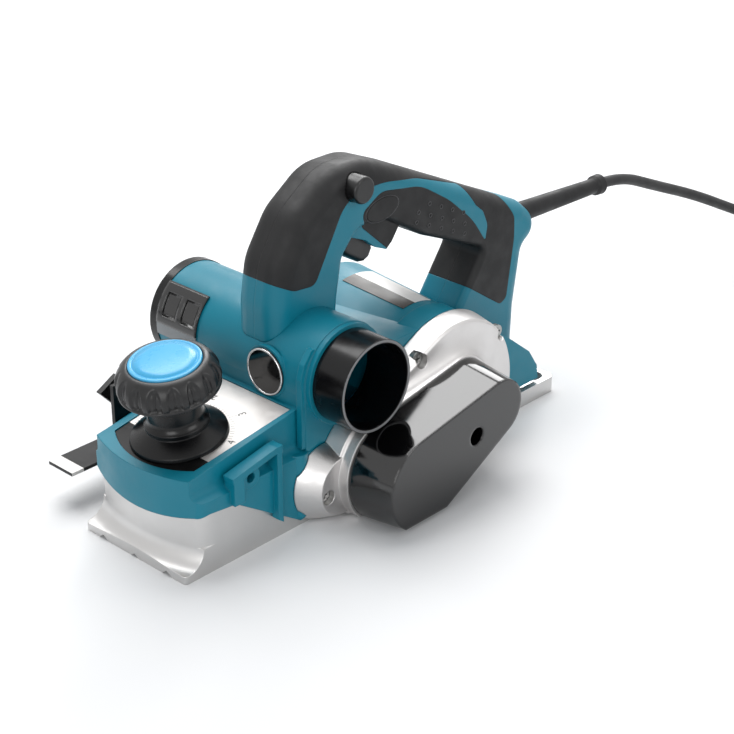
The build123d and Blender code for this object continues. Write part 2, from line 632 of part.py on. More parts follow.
# ---- belt side ----------------------------------------------------------------------------
FLOOR_GAP = 2.0  # gear case above the sole
COVER_LOW_Z = 3.3
CASE_SEAT_Y = BASE_HALF_W + GAP
CASE_STEP_Y = CASE_Y - 6.0  # its rim
CASE_MOTOR_AT = (-42.0, 38.0)
CASE_BACK_R = (34.0, 49.3)  # the case round the drum and round the motor, where it meets the housing
CASE_RIM_R = (33.0, 47.2)  # and at its rim
CASE_BEVEL = 1.2
LOBE_BACK = ((52.0, 21.5), 22.4)  # middle and radius of the front lobe where it meets the housing
LOBE_FACE = ((48.5, 22.0), 17.0)  # and on its face
DISH_STEPS = 5
COVER_R = (27.0, 17.0)  # belt cover's face, round the drum and the motor
COVER_FLARE = 3.5  # wider at the gear case
COVER_WALL = 2.2
MOTOR_SHAFT_R = 4.0
DRUM_SHAFT_R = 6.0
MOTOR_BEARING_R = 12.0
DRUM_BEARING_R = 16.0
BEARING_Y = (BASE_HALF_W + 2.0, BASE_HALF_W + 12.0)
MOTOR_PULLEY_R = 10.0
DRUM_PULLEY_R = 17.5
BELT_T = 2.6
BELT_Y = (BASE_HALF_W + 25.0, BASE_HALF_W + 37.0)
COVER_SCREW_AT = (-19.0, 37.0)
CASE_SCREWS = ((60.0, 19.0), (-12.0, 73.0), (-80.0, 66.0))


def belt_face(y, radii, motor_at=MOTOR_AXIS):
    """Belt outline as a face at y."""
    return (at_y(y) * belt_outline(*radii, motor_at)).face()


def blend(start, end, share):
    """Pair of values part of the way from one pair to another."""
    return tuple(a + (b - a) * share for a, b in zip(start, end))


def round_face(axis, radius, y):
    """Round face about a side-view point."""
    with BuildSketch(at_y(y)) as face:
        with Locations(axis):
            Circle(radius)
    return face.sketch.face()


with BuildPart() as gear_case:
    rim_y = CASE_STEP_Y - CASE_BEVEL
    face_r = (CASE_RIM_R[0] - CASE_BEVEL, CASE_RIM_R[1] - CASE_BEVEL)
    case_back = belt_face(CASE_SEAT_Y, CASE_BACK_R, CASE_MOTOR_AT)
    case_rim = belt_face(rim_y, CASE_RIM_R, CASE_MOTOR_AT)
    case_face = belt_face(CASE_STEP_Y, face_r, CASE_MOTOR_AT)
    loft([case_back, case_rim])
    loft([case_rim, case_face])
    # front lobe, tapering to its face
    loft([round_face(*LOBE_BACK, CASE_SEAT_Y), round_face(*LOBE_FACE, CASE_STEP_Y)])
    # dished face that sweeps up to the belt cover
    crown_r = (COVER_R[0] + COVER_FLARE + 1, COVER_R[1] + COVER_FLARE + 1)
    dish = []
    for n in range(DISH_STEPS + 1):
        swing = n * pi / 2 / DISH_STEPS
        radii = blend(face_r, crown_r, sin(swing))
        centre = blend(CASE_MOTOR_AT, MOTOR_AXIS, sin(swing))
        dish.append(belt_face(CASE_STEP_Y + (CASE_Y - CASE_STEP_Y) * (1 - cos(swing)), radii, centre))
    loft(dish)
    # hollow towards the motor, for the fan's air
    disc(MOTOR_AXIS, MOTOR_BORE + 3, CASE_SEAT_Y - 1, BEARING_Y[0] - 1, Mode.SUBTRACT)
    disc(MOTOR_AXIS, MOTOR_BEARING_R, CASE_SEAT_Y - 1, BEARING_Y[1], Mode.SUBTRACT)
    disc(DRUM_AXIS, DRUM_BEARING_R, CASE_SEAT_Y - 1, BEARING_Y[1], Mode.SUBTRACT)
    disc(MOTOR_AXIS, MOTOR_SHAFT_R + 1, CASE_SEAT_Y, CASE_Y + 1, Mode.SUBTRACT)
    disc(DRUM_AXIS, DRUM_SHAFT_R + 1, CASE_SEAT_Y, CASE_Y + 1, Mode.SUBTRACT)
    # clear of the nozzle, of the housing's ledge and pillar, and of the ground
    disc(DUCT_AXIS, DUCT_R, CASE_SEAT_Y - 1, CASE_Y + 1, Mode.SUBTRACT)
    block(-100, 80, 30, COVER_Y, -20, FLOOR_GAP, Mode.SUBTRACT)
    block(NOSE_BACK_X - GAP, 80, 30, SKIRT_OUT + GAP, -20, 60, Mode.SUBTRACT)
    with BuildSketch(Plane.XY.offset(PILLAR_Z[0] - GAP)):
        with Locations(PILLAR_AT):
            Circle(PILLAR_R + GAP)
    extrude(amount=PILLAR_Z[1] - PILLAR_Z[0] + 2 * GAP, mode=Mode.SUBTRACT)
    # screw pockets
    for spot in CASE_SCREWS:
        disc(spot, 4.2, CASE_SEAT_Y + 6, CASE_Y + 1, Mode.SUBTRACT)
        disc(spot, 2.1, CASE_SEAT_Y - 1, CASE_Y, Mode.SUBTRACT)
    disc(COVER_SCREW_AT, 2.0, BEARING_Y[1], CASE_Y + 1, Mode.SUBTRACT)
finish(gear_case.part, "gear_case")

with BuildPart() as belt_cover:
    face_low = belt_outline(COVER_R[0] + COVER_FLARE, COVER_R[1] + COVER_FLARE)
    face_high = belt_outline(*COVER_R)
    loft([(at_y(CASE_Y) * face_low).face(), (at_y(COVER_Y) * face_high).face()])
    inside_low = belt_outline(COVER_R[0] + 1.4, COVER_R[1] + 1.4)
    inside_high = belt_outline(COVER_R[0] - COVER_WALL, COVER_R[1] - COVER_WALL)
    loft(
        [(at_y(CASE_Y - 1) * inside_low).face(), (at_y(COVER_Y - COVER_WALL) * inside_high).face()],
        mode=Mode.SUBTRACT,
    )
    disc(COVER_SCREW_AT, 7.3, CASE_Y, COVER_Y - COVER_WALL)
    block(-100, 80, CASE_Y - 5, COVER_Y + 5, -20, COVER_LOW_Z, Mode.SUBTRACT)
    disc(COVER_SCREW_AT, 5.3, CASE_Y + 3, COVER_Y + 1, Mode.SUBTRACT)
    disc(COVER_SCREW_AT, 2.2, CASE_Y - 1, CASE_Y + 4, Mode.SUBTRACT)
finish(belt_cover.part, "belt_cover")

with BuildPart() as cover_screw:
    disc(COVER_SCREW_AT, 2.0, BEARING_Y[1] + 1, CASE_Y + 3)
    disc(COVER_SCREW_AT, 4.0, CASE_Y + 3, CASE_Y + 6)
    with BuildSketch(at_y(CASE_Y + 4.5), mode=Mode.PRIVATE) as cross:
        with Locations(COVER_SCREW_AT):
            Rectangle(5, 1)
            Rectangle(1, 5)
    extrude(cross.sketch, amount=-2, mode=Mode.SUBTRACT)
finish(cover_screw.part, "cover_screw")

with BuildPart() as drive_belt:
    outside = belt_outline(DRUM_PULLEY_R + GAP + BELT_T, MOTOR_PULLEY_R + GAP + BELT_T)
    inside = belt_outline(DRUM_PULLEY_R + GAP, MOTOR_PULLEY_R + GAP)
    extrude(at_y(BELT_Y[0]) * outside, amount=BELT_Y[0] - BELT_Y[1])
    extrude(at_y(BELT_Y[0]) * inside, amount=BELT_Y[0] - BELT_Y[1], mode=Mode.SUBTRACT)
finish(drive_belt.part, "drive_belt")

with BuildPart() as motor_pulley:
    disc(MOTOR_AXIS, MOTOR_PULLEY_R, BELT_Y[0] - 2.5, BELT_Y[1] + 2.5)
    for flange_y in (BELT_Y[0] - 2.5, BELT_Y[1] + 1.0):
        disc(MOTOR_AXIS, MOTOR_PULLEY_R + 2.4, flange_y, flange_y + 1.5)
    disc(MOTOR_AXIS, MOTOR_SHAFT_R, BELT_Y[0] - 3, BELT_Y[1] + 3, Mode.SUBTRACT)
finish(motor_pulley.part, "motor_pulley")

with BuildPart() as drum_pulley:
    disc(DRUM_AXIS, DRUM_PULLEY_R, BELT_Y[0] - 1, BELT_Y[1] + 1)
    for face_y in (BELT_Y[0] - 1, BELT_Y[1] - 2):
        tube(DRUM_AXIS, DRUM_PULLEY_R - 3, DRUM_SHAFT_R + 3.5, face_y, face_y + 3, Mode.SUBTRACT)
    disc(DRUM_AXIS, DRUM_SHAFT_R, BELT_Y[0] - 2, BELT_Y[1] + 2, Mode.SUBTRACT)
finish(drum_pulley.part, "drum_pulley")

with BuildPart() as motor_bearing_left:
    tube(MOTOR_AXIS, MOTOR_BEARING_R, MOTOR_SHAFT_R + RUN, BEARING_Y[0], BEARING_Y[1])
finish(motor_bearing_left.part, "motor_bearing_left")

with BuildPart() as drum_bearing_left:
    tube(DRUM_AXIS, DRUM_BEARING_R, DRUM_SHAFT_R + RUN, BEARING_Y[0], BEARING_Y[1])
finish(drum_bearing_left.part, "drum_bearing_left")

# ---- drum ---------------------------------------------------------------------------------
DRUM_R = 22.5
DRUM_Y = (-BASE_HALF_W + 8.0, BASE_HALF_W - 0.5)
SEAT_UP = 7.0  # blade seat above the middle of the drum
BLADE_T = 1.5
BLADE_DEEP = 10.5
BLADE_TIP = (CUT_R**2 - (SEAT_UP + BLADE_T) ** 2) ** 0.5
CLAMP_T = 4.5
BOLT_EDGE = 11.0
BOLT_ROW = (DRUM_Y[0] + BOLT_EDGE, (DRUM_Y[0] + DRUM_Y[1]) / 2, DRUM_Y[1] - BOLT_EDGE)
BOLT_IN = 9.3
STUB_R = 4.0
HUB_BEARING_R = 11.0
BRACKET_R = 14.0
BRACKET_ARM = ((-2, 61), (-3, 47), (10, 24), (44, 24), (49.6, 30), (49.6, 46), (45, 49), (8, 61))
BRACKET_SCREWS = ((2.0, 56.0), (45.6, 42.0))


def drum_slab(u0, u1, v0, v1, y0, y1, turn):
    """Box given in the drum's own section, turned about the drum axis."""
    face = Pos((u0 + u1) / 2, (v0 + v1) / 2) * Rectangle(u1 - u0, v1 - v0)
    turned = Pos(DRUM_AXIS[0], DRUM_AXIS[1]) * Rot(0, 0, turn) * face
    return extrude(at_y(y0) * turned, amount=y0 - y1)


drum_pockets = [drum_slab(4.2, 40, SEAT_UP, 40, -COVER_Y, COVER_Y, turn) for turn in (0, 180)]
with BuildPart() as drum:
    disc(DRUM_AXIS, DRUM_R, *DRUM_Y)
    add(drum_pockets, mode=Mode.SUBTRACT)
    disc(DRUM_AXIS, DRUM_SHAFT_R, DRUM_Y[1] - 5, BELT_Y[1] + 4)
    disc(DRUM_AXIS, STUB_R, -BASE_HALF_W + 1.5, DRUM_Y[0] + 5)
    for turn in (0, 180):
        for bolt_y in BOLT_ROW:
            spot = Pos(DRUM_AXIS[0], bolt_y, DRUM_AXIS[1]) * Rot(0, -turn, 0) * Pos(BOLT_IN, 0, 0)
            add(spot * Pos(0, 0, 4) * Cylinder(3, 18, mode=Mode.PRIVATE), mode=Mode.SUBTRACT)
finish(drum.part, "drum")

with BuildPart() as drum_sweep:
    disc(DRUM_AXIS, DRUM_R + 0.9, -CASE_Y, CASE_Y)
for turn, letter in ((0, "a"), (180, "b")):
    blade_top = SEAT_UP + BLADE_T
    clamp_top = blade_top + CLAMP_T
    blade = drum_slab(BLADE_TIP - BLADE_DEEP, BLADE_TIP, SEAT_UP, blade_top, -BASE_HALF_W, BASE_HALF_W, turn)
    clamp = drum_slab(4.4, 26, blade_top, clamp_top, DRUM_Y[0], DRUM_Y[1], turn) & drum_sweep.part
    bolts = []
    for bolt_y in BOLT_ROW:
        spot = Pos(DRUM_AXIS[0], bolt_y, DRUM_AXIS[1]) * Rot(0, -turn, 0) * Pos(BOLT_IN, 0, 0)
        shank = spot * Pos(0, 0, 4) * Cylinder(3, 18)
        head = spot * Pos(0, 0, clamp_top + 1.4) * extrude(RegularPolygon(4.8, 6), amount=1.4, both=True)
        bolts.append(shank + head)
        clamp = clamp - shank
    finish(blade, f"blade_{letter}")
    finish(clamp, f"blade_clamp_{letter}")
    finish(Part() + bolts, f"clamp_bolts_{letter}")

with BuildPart() as bearing_bracket:
    disc(DRUM_AXIS, BRACKET_R, -BASE_HALF_W, DRUM_Y[0] - 0.5)
    slab(BRACKET_ARM, -BASE_HALF_W - 3, -BASE_HALF_W)
    disc(DRUM_AXIS, BRACKET_R, -BASE_HALF_W - 3, -BASE_HALF_W + 0.5)
    block(0, 45, -CASE_Y, -BASE_HALF_W, -5, REBATE_MAX - 0.5, Mode.SUBTRACT)
    disc(DRUM_AXIS, HUB_BEARING_R, -BASE_HALF_W + 1.0, DRUM_Y[0], Mode.SUBTRACT)
    disc(DUCT_AXIS, DUCT_R, -CASE_Y, -BASE_HALF_W, Mode.SUBTRACT)
    for spot in BRACKET_SCREWS:
        disc(spot, 1.6, -BASE_HALF_W - 4, -BASE_HALF_W + 1, Mode.SUBTRACT)
finish(bearing_bracket.part, "bearing_bracket")

with BuildPart() as drum_bearing_right:
    tube(DRUM_AXIS, HUB_BEARING_R, STUB_R + RUN, -BASE_HALF_W + 1.0, DRUM_Y[0] - 0.5)
finish(drum_bearing_right.part, "drum_bearing_right")

# ---- motor --------------------------------------------------------------------------------
CORE_Y = (-14.0, 14.0)
CORE_R = 20.0
AIR_GAP = 0.6
FAN_Y = (BASE_HALF_W - 21.0, BASE_HALF_W - 9.0)
FAN_R = 32.0
COMM_Y = (-BASE_HALF_W + 13.0, -BASE_HALF_W + 22.0)
COMM_R = 11.0
END_BEARING_R = 9.5
END_BEARING_Y = (-BASE_HALF_W + 2.0, -BASE_HALF_W + 9.0)
SLOTS = 12
BLADES = 18

with BuildPart() as armature_shaft:
    disc(MOTOR_AXIS, MOTOR_SHAFT_R, END_BEARING_Y[0] + 0.5, BELT_Y[1] + 4)
finish(armature_shaft.part, "armature_shaft")

with BuildPart() as armature_core:
    tube(MOTOR_AXIS, CORE_R, MOTOR_SHAFT_R, *CORE_Y)
    with BuildSketch(at_y(CORE_Y[0])) as slots:
        with Locations(MOTOR_AXIS):
            with PolarLocations(CORE_R - 2, SLOTS):
                Rectangle(5, 2.2)
    extrude(slots.sketch, amount=CORE_Y[0] - CORE_Y[1], mode=Mode.SUBTRACT)
    for end_y in (CORE_Y[0] - 4, CORE_Y[1]):
        tube(MOTOR_AXIS, CORE_R - 3.5, MOTOR_SHAFT_R, end_y, end_y + 4)
finish(armature_core.part, "armature_core")

with BuildPart() as commutator:
    tube(MOTOR_AXIS, COMM_R, MOTOR_SHAFT_R, *COMM_Y)
finish(commutator.part, "commutator")

with BuildPart() as fan:
    tube(MOTOR_AXIS, 9, MOTOR_SHAFT_R, *FAN_Y)
    tube(MOTOR_AXIS, FAN_R, MOTOR_SHAFT_R, FAN_Y[0], FAN_Y[0] + 2)
    with BuildSketch(at_y(FAN_Y[0])) as vanes:
        with Locations(MOTOR_AXIS):
            with PolarLocations(20, BLADES):
                Rectangle(22, 1.4, rotation=20)
    extrude(vanes.sketch, amount=FAN_Y[0] - FAN_Y[1])
finish(fan.part, "fan")

with BuildPart() as field_core:
    tube(MOTOR_AXIS, MOTOR_BORE, CORE_R + AIR_GAP, *CORE_Y)
    for side in (1, -1):
        spot = (MOTOR_AXIS[0] + side * 26.5, MOTOR_AXIS[1])
        with BuildSketch(at_y(CORE_Y[0])) as window:
            with Locations(spot):
                Rectangle(8, 26)
        extrude(window.sketch, amount=CORE_Y[0] - CORE_Y[1], mode=Mode.SUBTRACT)
finish(field_core.part, "field_core")

with BuildPart() as field_coils:
    for side in (1, -1):
        spot = (MOTOR_AXIS[0] + side * 26.5, MOTOR_AXIS[1])
        with BuildSketch(at_y(CORE_Y[0] - 4)) as winding:
            with Locations(spot):
                Rectangle(6.4, 23)
        extrude(winding.sketch, amount=CORE_Y[0] - CORE_Y[1] - 8)
finish(field_coils.part, "field_coils")

with BuildPart() as motor_bearing_right:
    tube(MOTOR_AXIS, END_BEARING_R, MOTOR_SHAFT_R + RUN, *END_BEARING_Y)
finish(motor_bearing_right.part, "motor_bearing_right")

with BuildPart() as motor_end_cap:
    disc(MOTOR_AXIS, MOTOR_BORE, -BASE_HALF_W, -BASE_HALF_W + 3)
    disc(MOTOR_AXIS, END_BEARING_R + 3, -BASE_HALF_W, END_BEARING_Y[1])
    disc(MOTOR_AXIS, END_BEARING_R, END_BEARING_Y[0], END_BEARING_Y[1] + 1, Mode.SUBTRACT)
    for n in range(-3, 4):
        for side in (1, -1):
            vent = (MOTOR_AXIS[0] + side * 22, MOTOR_AXIS[1] + 6 * n)
            with BuildSketch(at_y(-BASE_HALF_W - 1)) as opening:
                with Locations(vent):
                    SlotOverall(13, 2.4)
            extrude(opening.sketch, amount=-6, mode=Mode.SUBTRACT)
finish(motor_end_cap.part, "motor_end_cap")

for side, place in ((1, "front"), (-1, "rear")):
    with BuildPart() as brush_holder:
        brush_y = (COMM_Y[0] + COMM_Y[1]) / 2
        inner_x = MOTOR_AXIS[0] + side * (COMM_R + 0.4)
        outer_x = MOTOR_AXIS[0] + side * (MOTOR_BORE - 2)
        hull = sorted((inner_x + side * 2, outer_x))
        carbon = sorted((inner_x, outer_x - side * 8))
        block(*hull, brush_y - 4, brush_y + 4, MOTOR_AXIS[1] - 5, MOTOR_AXIS[1] + 5)
        block(*carbon, brush_y - 2.5, brush_y + 2.5, MOTOR_AXIS[1] - 3.5, MOTOR_AXIS[1] + 3.5)
    finish(brush_holder.part, f"brush_{place}")

# ---- depth setting ------------------------------------------------------------------------
PLATE_T = 1.0
DIAL_R = 26.0
NECK_R = 14.5
KNOB_R = 29.6
CAP_R = 21.0
KNOB_LOW = 23.0
KNOB_HIGH = 46.5
FLUTES = 16

with BuildPart() as scale_plate:
    extrude(deck_tray(0.5), amount=PLATE_T)
    with BuildSketch(deck_plane(-1)):
        Circle(SPINDLE_R + 1.5)
    extrude(amount=4, mode=Mode.SUBTRACT)
finish(scale_plate.part, "scale_plate")

with BuildPart() as knob_spindle:
    with BuildSketch(deck_plane(-40)):
        Circle(SPINDLE_R)
    extrude(amount=40 + KNOB_HIGH - 2)
finish(knob_spindle.part, "knob_spindle")

with BuildPart() as knob_dial:
    dial_low = PLATE_T + GAP
    with BuildSketch(KNOB_SECTION) as skirt:
        with BuildLine():
            Line((SPINDLE_R, dial_low), (DIAL_R, dial_low))
            Line((DIAL_R, dial_low), (DIAL_R - 0.5, dial_low + 2))
            Line((DIAL_R - 0.5, dial_low + 2), (17, 8.5))
            Line((17, 8.5), (17, 11))
            RadiusArc((17, 11), (NECK_R, 15), 6)
            Line((NECK_R, 15), (NECK_R, KNOB_LOW + 2))
            Line((NECK_R, KNOB_LOW + 2), (SPINDLE_R, KNOB_LOW + 2))
            Line((SPINDLE_R, KNOB_LOW + 2), (SPINDLE_R, dial_low))
        make_face()
    revolve(skirt.sketch, axis=KNOB_AXIS)
finish(knob_dial.part, "knob_dial")

with BuildPart() as knob_grip:
    with BuildSketch(KNOB_SECTION) as grip:
        with BuildLine():
            Line((NECK_R, KNOB_LOW), (24, KNOB_LOW))
            Spline(
                (24, KNOB_LOW),
                (KNOB_R - 1.2, KNOB_LOW + 2),
                (KNOB_R, KNOB_LOW + 5),
                (KNOB_R - 1, KNOB_LOW + 13),
                (KNOB_R - 4, KNOB_HIGH - 4),
                (CAP_R + 0.8, KNOB_HIGH),
            )
            Line((CAP_R + 0.8, KNOB_HIGH), (CAP_R, KNOB_HIGH))
            Line((CAP_R, KNOB_HIGH), (CAP_R, KNOB_HIGH - 3))
            Line((CAP_R, KNOB_HIGH - 3), (SPINDLE_R, KNOB_HIGH - 3))
            Line((SPINDLE_R, KNOB_HIGH - 3), (SPINDLE_R, KNOB_LOW + 2))
            Line((SPINDLE_R, KNOB_LOW + 2), (NECK_R, KNOB_LOW + 2))
            Line((NECK_R, KNOB_LOW + 2), (NECK_R, KNOB_LOW))
        make_face()
    revolve(grip.sketch, axis=KNOB_AXIS)
    with BuildSketch(deck_plane(KNOB_LOW - 1)) as flutes:
        with PolarLocations(KNOB_R + 1.3, FLUTES):
            Circle(2.2)
    extrude(flutes.sketch, amount=16, mode=Mode.SUBTRACT)
finish(knob_grip.part, "knob_grip")

with BuildPart() as knob_cap:
    with BuildSketch(KNOB_SECTION) as lid:
        with BuildLine():
            Line((0, KNOB_HIGH - 2), (CAP_R, KNOB_HIGH - 2))
            Line((CAP_R, KNOB_HIGH - 2), (CAP_R, KNOB_HIGH + 0.4))
            Spline((CAP_R, KNOB_HIGH + 0.4), (CAP_R * 0.6, KNOB_HIGH + 1.6), (0, KNOB_HIGH + 2.1))
            Line((0, KNOB_HIGH + 2.1), (0, KNOB_HIGH - 2))
        make_face()
    revolve(lid.sketch, axis=KNOB_AXIS)
finish(knob_cap.part, "knob_cap")

# ---- plates, badge and the duct's far end -------------------------------------------------
with BuildPart() as badge:
    with BuildSketch(Plane.YZ.offset(BADGE_X)):
        with Locations(BADGE_AT):
            Circle(BADGE_R)
    extrude(amount=1.2)
finish(badge.part, "badge")

RING_Y = DUCT_END_Y + 6.0
with BuildPart() as duct_end_ring:
    tube(DUCT_AXIS, DUCT_R + 0.4, DUCT_BORE - 3, DUCT_END_Y, RING_Y)
    tube(DUCT_AXIS, DUCT_BORE, DUCT_BORE - 3, RING_Y, RING_Y + 6)
    disc(DUCT_AXIS, DUCT_BORE, DUCT_END_Y + 2, DUCT_END_Y + 4)
finish(duct_end_ring.part, "duct_end_ring")

GRILLE_ANGLES = (5.0, 53.0)
GRILLE_Y = (RING_Y, -BASE_HALF_W - 1.0)


def wedge(low, high, reach):
    """Side-view wedge from the duct's axis between two angles."""
    steps = (low, (low + high) / 2, high)
    rim = [(DUCT_AXIS[0] + reach * cos(radians(t)), DUCT_AXIS[1] + reach * sin(radians(t))) for t in steps]
    return (DUCT_AXIS, *rim)


def duct_patch(outer, inner, y0, y1, low, high):
    """Piece of a ring round the duct, between two angles."""
    with BuildPart() as patch:
        tube(DUCT_AXIS, outer, inner, y0, y1)
        add(slab_of(wedge(low, high, 60), DUCT_END_Y - 10, 0), mode=Mode.INTERSECT)
    return patch.part


with BuildPart() as side_grille:
    add(duct_patch(DUCT_R + 1.2, DUCT_R + SEAT_GAP, *GRILLE_Y, *GRILLE_ANGLES))
    for window_y in (RING_Y + 4, RING_Y + 19):
        window_angles = (GRILLE_ANGLES[0] + 9, GRILLE_ANGLES[1] - 12)
        add(duct_patch(DUCT_R + 3, DUCT_R + 0.5, window_y, window_y + 11, *window_angles), mode=Mode.SUBTRACT)
finish(side_grille.part, "side_grille")

with BuildPart() as grille_strip:
    add(duct_patch(DUCT_R + 0.8, DUCT_R + SEAT_GAP, *GRILLE_Y, -9, GRILLE_ANGLES[0]))
finish(grille_strip.part, "grille_strip")

LABEL_ARC = (68.0, 112.0)
LABEL_Y = (-24.0, 22.0)
with BuildPart() as rating_label:
    with BuildSketch(MOTOR_SECTION, mode=Mode.PRIVATE) as strip:
        with BuildLine():
            low_r = [barrel_r(y) + SEAT_GAP for y in LABEL_Y]
            Polyline(
                (LABEL_Y[0], low_r[0]),
                (LABEL_Y[1], low_r[1]),
                (LABEL_Y[1], low_r[1] + 0.4),
                (LABEL_Y[0], low_r[0] + 0.4),
                close=True,
            )
        make_face()
    revolve(strip.sketch, axis=MOTOR_LINE)
    label_rays = [radians(t) for t in (LABEL_ARC[0], 90, LABEL_ARC[1])]
    label_rim = [(MOTOR_AXIS[0] + 80 * cos(ray), MOTOR_AXIS[1] + 80 * sin(ray)) for ray in label_rays]
    add(slab_of((MOTOR_AXIS, *label_rim), -40, 40), mode=Mode.INTERSECT)
finish(rating_label.part, "rating_label")

# ---- switch gear --------------------------------------------------------------------------
with BuildPart() as trigger:
    with BuildSketch(at_y(-TRIGGER_HALF_W)) as lever:
        with BuildLine():
            Polyline((3, 150), (3.5, 134), (1.5, 126.5), (-1, 124), (-11, 117.5))
            Polyline((-11, 117.5), (-15, 116.8), (-19, 118.5), (-21.5, 123))
            Polyline((-21.5, 123), (-20, 130), (-24, 138), (-38, 142), (-38, 147), (-8, 151.5), (3, 150))
        make_face()
    extrude(lever.sketch, amount=-2 * TRIGGER_HALF_W)
    fillet(trigger.faces().filter_by(Axis.Y).edges().filter_by(lambda e: e.center().Z < 133), radius=3)
    disc(TRIGGER_PIN_AT, PIN_R + RUN, -20, 20, Mode.SUBTRACT)
finish(trigger.part, "trigger")

with BuildPart() as trigger_pin:
    disc(TRIGGER_PIN_AT, PIN_R, -CAVITY_HALF_W - 2, CAVITY_HALF_W + 2)
finish(trigger_pin.part, "trigger_pin")

with BuildPart() as switch_body:
    switch_half_w = CAVITY_HALF_W - SEAT_GAP
    slab(((-43, 151), (-43, 143.5), (-70, 129.5), (-70, 138)), -switch_half_w, switch_half_w)
finish(switch_body.part, "switch_body")

with BuildPart() as lock_button:
    disc(LOCK_AT, LOCK_R, HANDLE_HALF_W - 3.5, HANDLE_HALF_W + LOCK_OUT)
    fillet(lock_button.faces().sort_by(Axis.Y)[-1].edges(), radius=1.5)
    disc(LOCK_AT, LOCK_STEM_R, 2, HANDLE_HALF_W - 3.5)
finish(lock_button.part, "lock_button")

# ---- depth guide on the far side ----------------------------------------------------------
GUIDE_Y = -(SKIRT_OUT + RIB_OUT + GAP)
GUIDE_T = 2.5
GUIDE_REST_Z = 20.0
SCREW_R = 2.7

with BuildPart() as depth_guide:
    foot_in_y = DUCT_END_Y + 20
    foot_top = GUIDE_REST_Z + 2
    block(PORT_AT[0] - 16, PORT_AT[0] + 16, GUIDE_Y - GUIDE_T, GUIDE_Y, GUIDE_REST_Z, PORT_AT[1] + 27)
    block(PORT_AT[0] - 8, PORT_AT[0] + 36, DUCT_END_Y, foot_in_y, GUIDE_REST_Z, foot_top)
    block(PORT_AT[0] - 6, PORT_AT[0] + 16, foot_in_y - 1, GUIDE_Y, GUIDE_REST_Z, foot_top)
    with BuildSketch(at_y(GUIDE_Y - GUIDE_T - 1)) as slot:
        with Locations((PORT_AT[0], PORT_AT[1] + 7.5)):
            SlotOverall(38, 2 * (SCREW_R + 0.5), rotation=90)
    extrude(slot.sketch, amount=-8, mode=Mode.SUBTRACT)
finish(depth_guide.part, "depth_guide")

with BuildPart() as guide_screw:
    screw_y = GUIDE_Y - GUIDE_T - GAP
    disc(PORT_AT, SCREW_R, screw_y - 2, -(SKIRT_OUT - 8))
    disc(PORT_AT, 7.0, screw_y - 8, screw_y)
    for turn, reach in ((62, 28), (242, 16)):
        spread = (cos(radians(turn)), 0, sin(radians(turn)))
        wing_plane = Plane(origin=(PORT_AT[0], screw_y - 7.5, PORT_AT[1]), x_dir=spread, z_dir=(0, -1, 0))
        with BuildSketch(wing_plane) as wing:
            with BuildLine():
                Polyline(
                    (4, -3),
                    (reach / 2, -3.5),
                    (reach, -reach / 4),
                    (reach, reach / 4),
                    (reach / 2, 3.5),
                    (4, 3),
                    close=True,
                )
            make_face()
        extrude(wing.sketch, amount=-3.5)
finish(guide_screw.part, "guide_screw")

# ---- supply cord --------------------------------------------------------------------------
CORD_R = 3.5
COIL_AT = (-455.0, 112.0)
COIL_MEAN_R = 41.0
COIL_SIDE = 28.0  # four turns side by side
COIL_RISE = 14.0  # two layers
PLUG_AT = (-394.0, 121.0, 13.0)
PLUG_DIR = (0.5, -0.866, 0.0)

def cord_tube(route, name):
    """Tube along straight runs joined by the largest arcs that fit; prints its radii and length."""
    route = [Vector(*p) for p in route]
    radii = []
    for before, here, after in zip(route, route[1:], route[2:]):
        turn = radians((here - before).get_angle(after - here))
        radii.append(0.45 * min((here - before).length, (after - here).length) / tan(turn / 2))
    with BuildPart() as cord_part:
        with BuildLine() as path:
            FilletPolyline(*route, radius=radii)
        with BuildSketch(Plane(origin=route[0], z_dir=route[1] - route[0])):
            Circle(CORD_R)
        sweep(path=path.line)
    length = sum(edge.length for edge in path.edges())
    ratio = cord_part.part.volume / (pi * CORD_R**2 * length)
    print(name, "length", round(length), "radii", [round(r) for r in radii], "volume ratio", round(ratio, 4))
    return cord_part.part


FLOOR_Z = CORD_R + 0.1
CORD_ROUTE = [
    GUARD_TIP,
    (-262.0, 0.0, 96.4),
    (-300.0, 1.0, 80.0),
    (-346.0, 3.0, 61.0),
    (-392.0, 8.0, 38.0),
    (-436.0, 17.0, 17.0),
    (-480.0, 32.0, FLOOR_Z),
    (-511.0, 64.0, FLOOR_Z),
    (-517.0, 104.0, FLOOR_Z),
    (-500.0, 138.0, FLOOR_Z),
]
TAIL_ROUTE = [
    (-420.6, 150.3, 10.4),
    (-411.5, 142.2, 10.8),
    (-402.0, 131.5, 12.2),
    PLUG_AT,
]
with BuildPart() as cord_coil:
    with BuildSketch(Plane.XY):
        with Locations(COIL_AT):
            Circle(COIL_MEAN_R + COIL_SIDE / 2)
            Circle(COIL_MEAN_R - COIL_SIDE / 2, mode=Mode.SUBTRACT)
    extrude(amount=COIL_RISE)
    fillet(cord_coil.edges().filter_by(GeomType.CIRCLE), radius=CORD_R)
finish(cord_coil.part, "cord_coil")

with BuildPart() as plug:
    plug_plane = Plane(origin=PLUG_AT, x_dir=(PLUG_DIR[1], -PLUG_DIR[0], 0), z_dir=PLUG_DIR)
    with BuildSketch(plug_plane) as relief_root:
        Circle(CORD_R + 1.2)
    with BuildSketch(plug_plane.offset(20)) as relief_end:
        RectangleRounded(22, 16, 7)
    loft([relief_root.face(), relief_end.face()])
    with BuildSketch(plug_plane.offset(20)):
        RectangleRounded(35, 2 * PLUG_AT[2], 11)
    extrude(amount=34)
    with BuildSketch(plug_plane.offset(54)):
        with Locations((-9.5, 0), (9.5, 0)):
            Circle(2.4)
    extrude(amount=19)
finish(plug.part, "plug")

